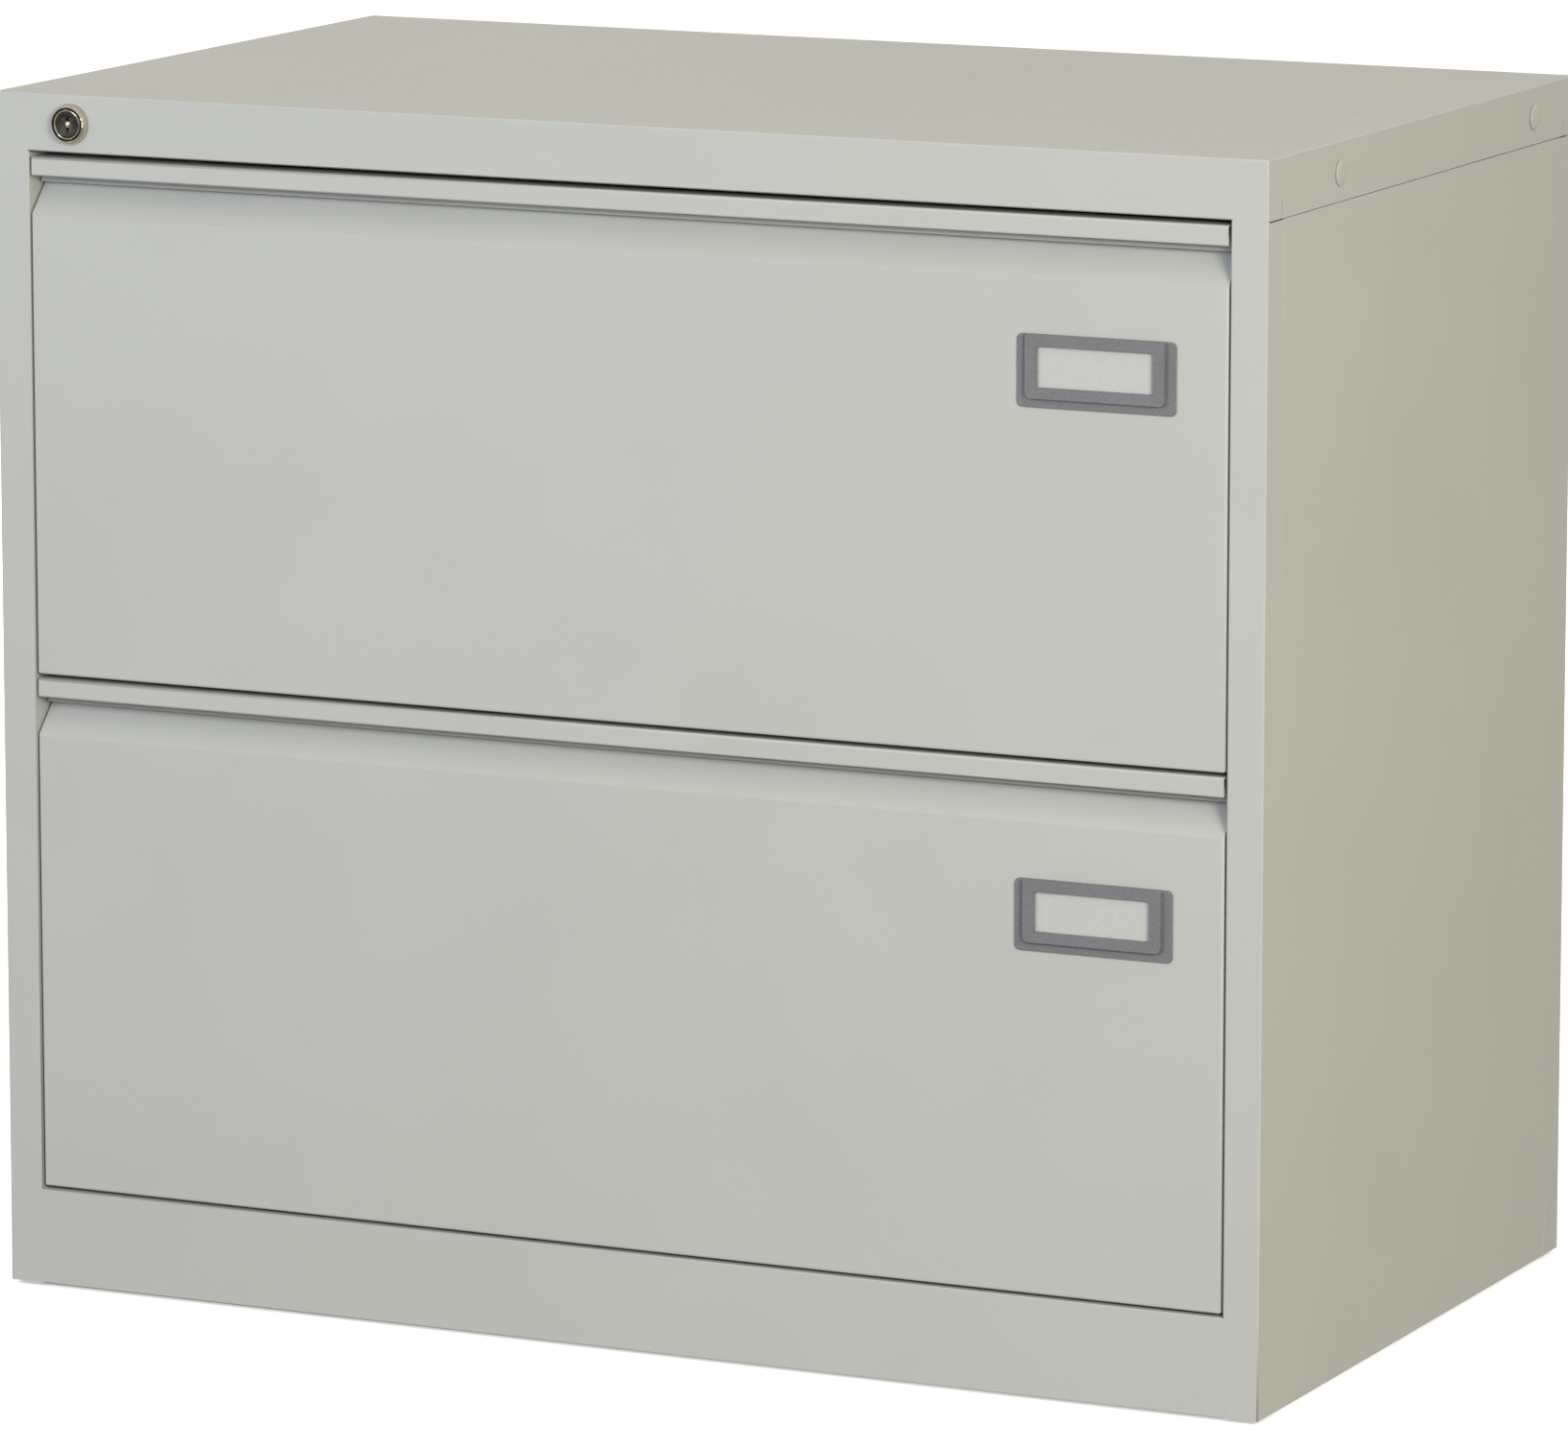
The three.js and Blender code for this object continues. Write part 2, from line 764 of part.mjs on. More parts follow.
for (const drawer of drawers) {
  const z0 = drawer.z;
  const runnerZ = z0 + runnerRise;
  const prefix = `${drawer.name}_drawer`;
  addPiece(`${prefix}_front`, frontSkin(z0), paint());
  addPiece(`${prefix}_front_liner`, frontLiner(z0), paint());
  addPiece(`${prefix}_tray`, tray(z0), paint());
  addPiece(`${prefix}_back`, drawerBack(z0), paint());
  const frontRail = fileRail(z0, trayFront + frontFileRailSetback);
  addPiece(`${drawer.name}_front_file_rail`, frontRail, zincPlate());
  const rearRail = fileRail(z0, trayRear - rearFileRailSetback);
  addPiece(`${drawer.name}_rear_file_rail`, rearRail, zincPlate());
  addPiece(`${drawer.name}_label_holder`, labelHolder(z0), holderPlastic());
  addPiece(`${drawer.name}_label_card`, labelCard(z0), cardPaper());
  addPiece(`${drawer.name}_lock_catch`, catchBracket(z0), zincPlate());
  for (const { name, sign } of sides) {
    const runner = `${drawer.name}_${name}_runner`;
    const fixed = runnerSection(sign * runnerOuter, sign * flangeTip, outerHalf, runnerZ);
    const middle = runnerSection(sign * middleWeb, sign * flangeTip, middleHalf, runnerZ);
    const moving = runnerSection(sign * runnerInner, sign * innerTip, innerHalf, runnerZ);
    addPiece(`${runner}_outer`, fixed, zincPlate());
    addPiece(`${runner}_middle`, middle, zincPlate());
    addPiece(`${runner}_inner`, moving, zincPlate());
  }
}

// ---------------------------------------------------------------- lock

function placeAtLock(geometry) {
  return geometry.translate(lockX, frontY, lockZ);
}

function lockHousing() {
  const bore = lockPlugRadius + lockPlugGap;
  return placeAtLock(
    turned([
      [bore, -lockProud],
      [bezelFaceRadius, -lockProud],
      ...bezelShoulder.map(([inside, out]) => [bezelRadius - inside, -lockProud * out]),
      [bezelRadius, 0],
      [barrelRadius, 0],
      [barrelRadius, barrelLength],
      [bore, barrelLength],
      [bore, -lockProud],
    ]),
  );
}

function lockNut() {
  const y0 = caseSheet + holeGap;
  const radius = nutAcrossCorners / 2;
  const hex = new THREE.CylinderGeometry(radius, radius, nutThickness, 6);
  hex.translate(0, y0 + nutThickness / 2, 0);
  const bore = roundRod(barrelRadius + holeGap, 0, y0 + nutThickness + 1);
  return placeAtLock(cut(hex, bore));
}

function lockPlug() {
  const face = lockPlugGap - lockProud;
  const plug = turned([
    [0, face],
    [lockPlugRadius, face],
    [lockPlugRadius, plugBack],
    [tailRadius, plugBack],
    [tailRadius, plugBack + tailLength],
    [0, plugBack + tailLength],
  ]);
  const half = keyholeWidth / 2;
  const keyhole = block(
    -half,
    half,
    face - 1,
    face + keyholeDepth,
    -keyholeHeight / 2,
    keyholeHeight / 2,
  );
  return placeAtLock(cut(plug, keyhole));
}

// The cam on the plug's tail. At rest its pin is below and to the left of the lock's axis.
function lockCam() {
  const angle = 1.25 * Math.PI;
  const arm = new THREE.Shape();
  arm.absarc(0, 0, camHubRadius, angle + Math.PI / 2, angle + 1.5 * Math.PI);
  const tipX = camThrow * Math.cos(angle);
  const tipZ = camThrow * Math.sin(angle);
  arm.absarc(tipX, tipZ, pinRadius + headMargin, angle - Math.PI / 2, angle + Math.PI / 2);
  const plate = alongY(arm, camFront, camBack);
  const pinEnd = headFront + headSheet + pinOverrun;
  const pin = roundRod(pinRadius, camFront, pinEnd).translate(tipX, 0, tipZ);
  const hole = roundRod(tailRadius + lockPlugGap, camFront - 1, camBack + 1);
  return placeAtLock(cut(joined(plate, pin), hole));
}

function lockBar() {
  const y0 = atDepth(barFrontSetback);
  const y1 = atDepth(barRearSetback);
  const pinZ = lockZ - restPinOffset;
  const headBottom = pinZ - headHalfHeight;
  const headTop = pinZ + headHalfHeight;
  const barBottom = lowerFrontZ + fingerTop - fingerHeight - barTail;
  const strip = block(-barOuter, -barInner, y0, y1, barBottom, headTop);
  const slotRight = lockX - restPinOffset + pinRadius + guideGap;
  const slotLeft = lockX - camThrow - pinRadius - guideGap;
  const headY = atDepth(headFront);
  const right = slotRight + headMargin;
  const head = block(-barOuter, right, headY, headY + headSheet, headBottom, headTop);
  const fingerTip = -(trayHalf + fingerTrayGap);
  const fingers = drawers.map(({ z }) => {
    const top = z + fingerTop;
    return block(-barOuter, fingerTip, y0, y1, top - fingerHeight, top);
  });
  const slotHalf = pinRadius + pinSlotGap;
  const slotBack = headY + headSheet + 1;
  const slot = block(slotLeft, slotRight, headY - 1, slotBack, pinZ - slotHalf, pinZ + slotHalf);
  return cut(joined(strip, head, ...fingers), slot);
}

function barGuide(z) {
  const left = -(barOuter + guideGap);
  const right = -(barInner - guideGap);
  const y0 = atDepth(barFrontSetback - guideGap);
  const y1 = atDepth(barRearSetback + guideGap);
  const rear = atDepth(frontUprightSetback - guideGap);
  const outer = block(left - guideWall, right + guideWall, y0 - guideWall / 2, rear, z, z + guideHeight);
  const way = block(left, right, y0, y1, z - 1, z + guideHeight + 1);
  return cut(outer, way);
}

addPiece("lock_housing", lockHousing(), chromePlate());
addPiece("lock_nut", lockNut(), zincPlate());
addPiece("lock_plug", lockPlug(), darkSteel());
addPiece("lock_cam", lockCam(), zincPlate());
addPiece("lock_bar", lockBar(), zincPlate());
addPiece("upper_lock_bar_guide", barGuide(seamZ - upperGuideDrop), guideNylon());
const lowerGuideZ = lowerFrontZ + catchTop + lowerGuideRise;
addPiece("lower_lock_bar_guide", barGuide(lowerGuideZ), guideNylon());

export default cabinet;
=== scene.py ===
"""The finished look of a two-drawer steel side filing cabinet, built round its frame.

Each group of pieces has an operator of its own, and the panel in the sidebar lists them all.
Lengths are in metres, +Z is up, and the drawers open towards -Y.
"""

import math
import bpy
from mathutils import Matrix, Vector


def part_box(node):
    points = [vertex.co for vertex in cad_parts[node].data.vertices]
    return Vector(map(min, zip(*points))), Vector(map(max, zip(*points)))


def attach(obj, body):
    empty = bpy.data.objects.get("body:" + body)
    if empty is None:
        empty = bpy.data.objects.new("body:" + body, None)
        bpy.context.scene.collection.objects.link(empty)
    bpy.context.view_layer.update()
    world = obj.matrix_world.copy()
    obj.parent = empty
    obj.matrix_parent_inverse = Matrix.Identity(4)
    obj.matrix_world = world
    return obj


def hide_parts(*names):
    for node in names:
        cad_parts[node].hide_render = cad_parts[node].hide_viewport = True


bl_info = {
    "name": "Side Filing Cabinet",
    "version": (1, 0, 0),
    "blender": (4, 5, 0),
    "location": "View3D > Sidebar > Cabinet",
    "description": "Builds the sheet metal, drawers, runners, lock and fittings of a side filing cabinet",
    "category": "Object",
}

import bmesh
import bpy
from bpy.props import FloatProperty, FloatVectorProperty, IntProperty, PointerProperty
from mathutils import Matrix, Vector

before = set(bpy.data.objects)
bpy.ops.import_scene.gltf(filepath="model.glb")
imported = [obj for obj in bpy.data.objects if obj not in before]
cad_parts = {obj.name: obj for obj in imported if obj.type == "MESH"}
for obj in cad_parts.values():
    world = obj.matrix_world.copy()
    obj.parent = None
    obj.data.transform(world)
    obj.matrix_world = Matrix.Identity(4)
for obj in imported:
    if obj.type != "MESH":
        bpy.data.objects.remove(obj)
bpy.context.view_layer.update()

MM = 0.001
TINY = 1e-5
MERGE = TINY / 10
QUARTER = math.pi / 2

# Levels and planes of the case, from the frame
PANEL_LOW, PANEL_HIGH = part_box("top_panel")
FRONT, BACK = PANEL_LOW.y, PANEL_HIGH.y
HALF, SEAM, TOP = PANEL_HIGH.x, PANEL_LOW.z, PANEL_HIGH.z
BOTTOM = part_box("left_side_panel")[0].z
PLINTH_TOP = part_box("plinth_rail")[1].z
OPENING_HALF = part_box("plinth_rail")[1].x
LOCK_LOW, LOCK_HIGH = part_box("lock_housing")
LOCK_X, LOCK_Z = (LOCK_LOW.x + LOCK_HIGH.x) / 2, (LOCK_LOW.z + LOCK_HIGH.z) / 2
DRAWERS = ("upper", "lower")
SIDES = (("left", -1), ("right", 1))
PAINT, ZINC = "cabinet_paint", "zinc_plated_steel"
PLACES = ("front", "rear")


def length(value, name, description):
    """A length property whose default is in millimetres."""
    return FloatProperty(
        name=name, description=description, default=value * MM, min=0.0, precision=5, unit="LENGTH"
    )


def colour(value, name, description):
    """A colour property, linear red, green and blue."""
    return FloatVectorProperty(
        name=name, description=description, default=value, size=3, min=0.0, max=1.0, subtype="COLOR"
    )


class CabinetSizes(bpy.types.PropertyGroup):
    sheet: length(1.0, "Sheet", "Thickness of the case and drawer sheet")
    bend: length(0.9, "Bend", "Bend radius at the middle of the sheet")
    bend_steps: IntProperty(name="Bend steps", description="Facets round a bend", default=4, min=1, max=12)
    seam_gap: length(0.8, "Seam gap", "Open line between the side panel and the top panel's skirt")
    stile_return: length(23, "Stile return", "Depth of the fold inside the stile")
    rail_return: length(20, "Rail return", "Depth of the folds inside the top and plinth rails")
    rear_fold: length(20, "Rear fold", "Width of the side panel's fold behind the cabinet")
    bottom_fold: length(14, "Bottom fold", "Width of the side panel's fold under the cabinet")
    lip: length(11.4, "Lip", "Height of the folded lip over the finger pull")
    pull_depth: length(17.5, "Pull depth", "Depth of the finger pull")
    pull_wall: length(15.8, "Pull wall", "Height of the finger pull's upright wall")
    pull_height: length(34.3, "Pull height", "Height of the whole finger pull")
    hem: length(5.0, "Hem", "Height of the lip's turned-back edge")
    slit_width: length(0.7, "Slit width", "Width of the slits in the top panel's skirt")
    slit_height: length(10.2, "Slit height", "Height of the slits in the top panel's skirt")
    front_slit: length(19.5, "Front slit", "Distance of the front slit behind the front")
    rear_slit: length(17.6, "Rear slit", "Distance of the rear slit before the back")
    ball: length(3.6, "Ball", "Diameter of the runner balls")
    rivet: length(6.4, "Rivet", "Diameter of the pop rivet heads")


class CabinetColours(bpy.types.PropertyGroup):
    paint: colour((0.452, 0.455, 0.42), "Paint", "Powder coat on the case and drawers")
    zinc: colour((0.62, 0.64, 0.66), "Zinc", "Bright zinc plate on runners and fittings")
    chrome: colour((0.64, 0.59, 0.49), "Chrome", "Nickel-chrome plate on the lock")
    plug: colour((0.06, 0.056, 0.05), "Lock plug", "Dark face of the lock plug")
    holder: colour((0.165, 0.165, 0.172), "Label holder", "Grey plastic of the label holders")
    card: colour((0.475, 0.48, 0.452), "Label card", "Uncoated card in the label holders")
    rubber: colour((0.012, 0.012, 0.013), "Black plastic", "Feet and the ring round the lock plug")
    nylon: colour((0.62, 0.63, 0.58), "Nylon", "Guides and ball cages")
    floor: colour((0.95, 0.95, 0.95), "Floor", "Studio floor")


def sizes():
    return bpy.context.scene.cabinet_sizes


def colours():
    return bpy.context.scene.cabinet_colours


# ---- finishes


class NodeMaker:
    """Adds nodes to one material and wires them up."""

    def __init__(self, name):
        self.material = bpy.data.materials.new(name)
        self.material.use_nodes = True
        self.tree = self.material.node_tree
        self.shader = self.tree.nodes["Principled BSDF"]
        self.place = self.add("ShaderNodeTexCoord").outputs["Object"]

    def add(self, kind, inputs=None, **settings):
        node = self.tree.nodes.new(kind)
        for key, value in settings.items():
            setattr(node, key, value)
        for key, value in (inputs or {}).items():
            if isinstance(value, bpy.types.NodeSocket):
                self.tree.links.new(value, node.inputs[key])
            else:
                node.inputs[key].default_value = value
        return node

    def stretched(self, stretch):
        return self.add("ShaderNodeMapping", {"Vector": self.place, "Scale": stretch}).outputs["Vector"]

    def noise(self, scale, detail=2.0, stretch=None):
        where = self.stretched(stretch) if stretch else self.place
        values = {"Vector": where, "Scale": scale, "Detail": detail}
        return self.add("ShaderNodeTexNoise", values).outputs["Fac"]

    def spread(self, value, low, high, start=0.3, end=0.7):
        values = {"Value": value, "From Min": start, "From Max": end, "To Min": low, "To Max": high}
        return self.add("ShaderNodeMapRange", values).outputs["Result"]

    def shades(self, factor, first, second):
        node = self.add("ShaderNodeMix", {"Factor": factor}, data_type="RGBA")
        node.inputs[6].default_value = (*first, 1)
        node.inputs[7].default_value = (*second, 1)
        return node.outputs[2]

    def added(self, first, second):
        return self.add("ShaderNodeMath", {0: first, 1: second}, operation="ADD").outputs[0]

    def bump(self, height, distance, strength=1.0, over=None):
        values = {"Height": height, "Distance": distance, "Strength": strength}
        if over:
            values["Normal"] = over
        return self.add("ShaderNodeBump", values).outputs["Normal"]

    def link(self, socket, name):
        self.tree.links.new(socket, self.shader.inputs[name])

    def set(self, **values):
        for name, value in values.items():
            self.shader.inputs[name.replace("_", " ")].default_value = value


def tinted(base, factor):
    return tuple(min(1.0, channel * factor) for channel in base)


def powder_coat(base):
    """Fine low-gloss powder coat: a soft orange peel under a finer grain."""
    make = NodeMaker("powder_coat")
    cloud = make.noise(9.0, 3.0)
    speck = make.noise(1900.0, 1.0)
    tone = make.added(make.spread(cloud, 0.0, 0.6), make.spread(speck, 0.0, 0.4))
    make.link(make.shades(tone, tinted(base, 0.975), tinted(base, 1.025)), "Base Color")
    make.link(make.spread(make.noise(420.0), 0.34, 0.44), "Roughness")
    peel = make.bump(make.noise(520.0, 2.0), 0.06 * MM)
    make.link(make.bump(make.noise(2300.0, 1.0), 0.012 * MM, over=peel), "Normal")
    make.set(Specular_IOR_Level=0.42)
    return make.material


def zinc_plate(base):
    """Bright zinc plate with the faint cloudiness of the bath and rolling lines."""
    make = NodeMaker("zinc_plate")
    cloud = make.noise(60.0, 4.0)
    make.link(make.shades(make.spread(cloud, 0.0, 1.0), tinted(base, 0.86), tinted(base, 1.1)), "Base Color")
    make.link(make.spread(make.noise(700.0, 3.0, (1.0, 0.04, 1.0)), 0.26, 0.42), "Roughness")
    make.link(make.bump(make.noise(900.0, 2.0, (1.0, 0.03, 1.0)), 0.01 * MM), "Normal")
    make.set(Metallic=1.0)
    return make.material


def chrome_plate(base):
    """Polished plate with a trace of polishing marks."""
    make = NodeMaker("chrome_plate")
    make.link(make.shades(make.noise(350.0, 3.0), tinted(base, 0.94), tinted(base, 1.05)), "Base Color")
    make.link(make.spread(make.noise(1200.0, 3.0), 0.09, 0.17), "Roughness")
    make.link(make.bump(make.noise(2600.0, 2.0), 0.004 * MM), "Normal")
    make.set(Metallic=1.0)
    return make.material


def dark_steel(base):
    """Darkened steel with the rings left by turning."""
    make = NodeMaker("dark_steel")
    centred = make.add("ShaderNodeMapping", {"Vector": make.place, "Location": (-LOCK_X, 0, -LOCK_Z)})
    values = {"Vector": centred.outputs["Vector"], "Scale": 1500.0, "Distortion": 0.6, "Detail": 2.0}
    rings = make.add("ShaderNodeTexWave", values, wave_type="RINGS", rings_direction="Y").outputs["Fac"]
    make.link(make.shades(make.noise(900.0, 3.0), tinted(base, 0.7), tinted(base, 1.6)), "Base Color")
    make.link(make.spread(make.noise(1600.0, 2.0), 0.24, 0.38), "Roughness")
    make.link(make.bump(rings, 0.012 * MM, 0.6), "Normal")
    make.set(Metallic=0.9)
    return make.material


def moulding(name, base, grain, depth, low, high):
    """Moulded plastic with the fine spark-eroded grain of its mould."""
    make = NodeMaker(name)
    cloud = make.spread(make.noise(40.0, 2.0), 0.0, 0.25)
    speck = make.spread(make.noise(grain * 0.8, 2.0), 0.0, 0.75)
    make.link(make.shades(make.added(cloud, speck), tinted(base, 0.86), tinted(base, 1.16)), "Base Color")
    make.link(make.spread(make.noise(grain * 0.6), low, high), "Roughness")
    make.link(make.bump(make.noise(grain, 2.0), depth), "Normal")
    make.set(Specular_IOR_Level=0.4)
    return make.material


def card_paper(base):
    """Uncoated card: matted fibres and a slightly uneven white."""
    make = NodeMaker("card_paper")
    fibre = make.noise(1500.0, 4.0, (1.0, 1.0, 0.35))
    make.link(make.shades(make.spread(fibre, 0.0, 1.0), tinted(base, 0.96), tinted(base, 1.04)), "Base Color")
    make.link(make.spread(make.noise(600.0), 0.75, 0.9), "Roughness")
    make.link(make.bump(fibre, 0.02 * MM), "Normal")
    make.set(Specular_IOR_Level=0.2)
    return make.material


FINISHES = {
    PAINT: lambda c: powder_coat(c.paint),
    ZINC: lambda c: zinc_plate(c.zinc),
    "chrome": lambda c: chrome_plate(c.chrome),
    "lock_plug_steel": lambda c: dark_steel(c.plug),
    "holder_plastic": lambda c: moulding("holder_moulding", c.holder, 1100.0, 0.08 * MM, 0.45, 0.6),
    "label_card": lambda c: card_paper(c.card),
    "foot_plastic": lambda c: moulding("black_moulding", c.rubber, 1500.0, 0.03 * MM, 0.45, 0.6),
    "guide_nylon": lambda c: moulding("nylon", c.nylon, 900.0, 0.02 * MM, 0.38, 0.5),
}
made_finishes = {}


def finish_of(slot):
    """The material of a slot, made the first time it is asked for."""
    if slot not in made_finishes:
        made_finishes[slot] = FINISHES[slot](colours())
    return made_finishes[slot]


# ---- mesh helpers


def add_piece(name, bm, body, slot, stands_for=(), sheet=0.0, rim=0.0):
    """Turns a bmesh into a piece on a body, with a sheet's thickness and its edges rounded by rim."""
    bmesh.ops.remove_doubles(bm, verts=bm.verts, dist=MERGE)
    bmesh.ops.recalc_face_normals(bm, faces=bm.faces)
    mesh = bpy.data.meshes.new(name)
    bm.to_mesh(mesh)
    bm.free()
    mesh.materials.append(finish_of(slot))
    piece = bpy.data.objects.new(name, mesh)
    bpy.context.scene.collection.objects.link(piece)
    if sheet:
        wall = piece.modifiers.new("Sheet", "SOLIDIFY")
        wall.thickness = sheet
        wall.offset = 0.0
        wall.use_even_offset = True
    if rim:
        edge = piece.modifiers.new("Edges", "BEVEL")
        edge.width = rim
        edge.segments = 2
        edge.limit_method = "ANGLE"
        edge.angle_limit = math.radians(50)
    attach(piece, body)
    if stands_for:
        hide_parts(*stands_for)


def near(first, second):
    return abs(first - second) < TINY


def everything(bm):
    return bm.verts[:] + bm.edges[:] + bm.faces[:]


def slice_at(bm, axis, *levels):
    """Cuts every face where it crosses a level of an axis."""
    for level in levels:
        point, normal = Vector(), Vector()
        point[axis] = level
        normal[axis] = 1
        bmesh.ops.bisect_plane(bm, geom=everything(bm), dist=MERGE, plane_co=point, plane_no=normal)


def drop_faces(bm, unwanted):
    faces = [face for face in bm.faces if unwanted(face.calc_center_median())]
    bmesh.ops.delete(bm, geom=faces, context="FACES")


def pull_edges(bm, edges, *moves):
    """Extrudes edges by each move in turn and returns the last edges made."""
    for move in moves:
        made = bmesh.ops.extrude_edge_only(bm, edges=list(edges))["geom"]
        verts = [item for item in made if isinstance(item, bmesh.types.BMVert)]
        bmesh.ops.translate(bm, verts=verts, vec=Vector(move))
        ring = set(verts)
        edges = [item for item in made if isinstance(item, bmesh.types.BMEdge)]
        edges = [edge for edge in edges if edge.verts[0] in ring and edge.verts[1] in ring]
    return edges


def round_edges(bm, edges, offset, steps=4):
    made = bmesh.ops.bevel(
        bm, geom=list(edges), offset=offset, offset_type="OFFSET", segments=steps, profile=0.5,
        affect="EDGES", clamp_overlap=True, material=-1
    )
    for face in made["faces"]:
        face.smooth = True


def folds(bm, least=25, edges=None):
    """Edges where two faces meet at more than an angle, in degrees."""
    bound = math.radians(least)
    return [e for e in (edges or bm.edges) if len(e.link_faces) == 2 and abs(e.calc_face_angle(0)) > bound]


def moved_path(path, distance):
    """A 2-D path moved sideways to its left, with its corners mitred."""
    points = [Vector(point) for point in path]
    normals = []
    for start, end in zip(points, points[1:]):
        along = (end - start).normalized()
        normals.append(Vector((-along.y, along.x)))
    ends = zip([normals[0]] + normals, normals + [normals[-1]])
    mitres = [before + after for before, after in ends]
    return [point + mitre * (2 * distance / mitre.length_squared) for point, mitre in zip(points, mitres)]


def run_section(bm, section, run):
    """Draws a section of points and runs it along a vector."""
    verts = [bm.verts.new(point) for point in section]
    edges = [bm.edges.new(pair) for pair in zip(verts, verts[1:])]
    made = bmesh.ops.extrude_edge_only(bm, edges=edges)["geom"]
    moved = [item for item in made if isinstance(item, bmesh.types.BMVert)]
    bmesh.ops.translate(bm, verts=moved, vec=Vector(run))


def bent_sheet(name, node, body, section, run, sheet, bend, slot=PAINT, rim=0.0):
    """A section of sheet run along a vector, with its folds bent."""
    bm = bmesh.new()
    run_section(bm, section, run)
    round_edges(bm, folds(bm), bend, sizes().bend_steps)
    add_piece(name, bm, body, slot, [node], sheet=sheet, rim=rim)


def edges_among(verts):
    inside = set(verts)
    found = {edge for vert in inside for edge in vert.link_edges}
    return [edge for edge in found if edge.verts[0] in inside and edge.verts[1] in inside]


def level_along(edge, axis, level):
    """Whether both ends of an edge are at a level of an axis."""
    return all(near(vert.co[axis], level) for vert in edge.verts)


def depth_edges(verts):
    """The edges among some verts that run from front to back."""
    return [e for e in edges_among(verts) if (e.verts[0].co - e.verts[1].co).xz.length < TINY]


def add_block(bm, low, high, round_by=0.0, steps=2):
    """A box between two corners, with its edges rounded."""
    low, high = Vector(low), Vector(high)
    place = Matrix.Translation((low + high) / 2) @ Matrix.Diagonal((*(high - low), 1))
    made = bmesh.ops.create_cube(bm, size=1.0, matrix=place)["verts"]
    if round_by:
        round_edges(bm, edges_among(made), round_by, steps)
    return made


def add_turned(bm, profile, place, steps=48, soften=0.0, sharp=28):
    """A profile of (radius, height) pairs turned about Z and put in place, its sharp rings softened."""
    before = set(bm.verts)

    def made():
        return [vert for vert in bm.verts if vert not in before]

    verts = [bm.verts.new((radius, 0, height)) for radius, height in profile]
    edges = [bm.edges.new(pair) for pair in zip(verts, verts[1:])]
    turn = {"axis": (0, 0, 1), "angle": 2 * math.pi, "steps": steps}
    bmesh.ops.spin(bm, geom=verts + edges, use_merge=True, use_duplicate=False, **turn)
    bmesh.ops.remove_doubles(bm, verts=made(), dist=MERGE)
    for face in {face for vert in made() for face in vert.link_faces}:
        face.smooth = True
    rings = folds(bm, sharp, edges_among(made()))
    if soften:
        round_edges(bm, rings, soften, 2)
    else:
        for ring in rings:
            ring.smooth = False
    bmesh.ops.transform(bm, matrix=place, verts=made())


def facing(point, direction):
    """A placement that turns +Z to a direction and moves it to a point."""
    turn = Vector((0, 0, 1)).rotation_difference(Vector(direction)).to_matrix().to_4x4()
    return Matrix.Translation(point) @ turn


def rivet_head(bm, point, direction, diameter):
    """A pop rivet's domed head with the hollow of its mandrel."""
    r = diameter / 2
    shape = ((1, 0), (0.96, 0.16), (0.75, 0.36), (0.42, 0.46), (0.26, 0.44), (0.24, 0.2), (0, 0.2))
    add_turned(bm, [(x * r, y * r) for x, y in shape], facing(point, direction), 14)


def pan_screw(bm, point, direction, diameter):
    """A pan-head screw with a round recess."""
    r = diameter / 2
    shape = ((1, 0), (1, 0.28), (0.86, 0.52), (0.5, 0.62), (0.42, 0.62), (0.2, 0.22), (0, 0.16))
    add_turned(bm, [(x * r, y * r) for x, y in shape], facing(point, direction), 16)


# ---- case


FOLD_SETBACK = 25 * MM  # from the front and back to the ends of the panels' inner folds and tongues
TONGUE_STEP = 1.2 * MM  # from the side panel in to its tongue behind the skirt
TONGUE_HEIGHT = 8 * MM
TONGUE_NEAR, TONGUE_FAR = 1.1 * MM, 2.4 * MM  # how deep in from the case's outside a tongue's faces lie
SIDE_REACH = 21 * MM  # how far the side panels' folds reach past the opening's edge
STILE_FACE = 22 * MM  # width of a stile from the outside of the case


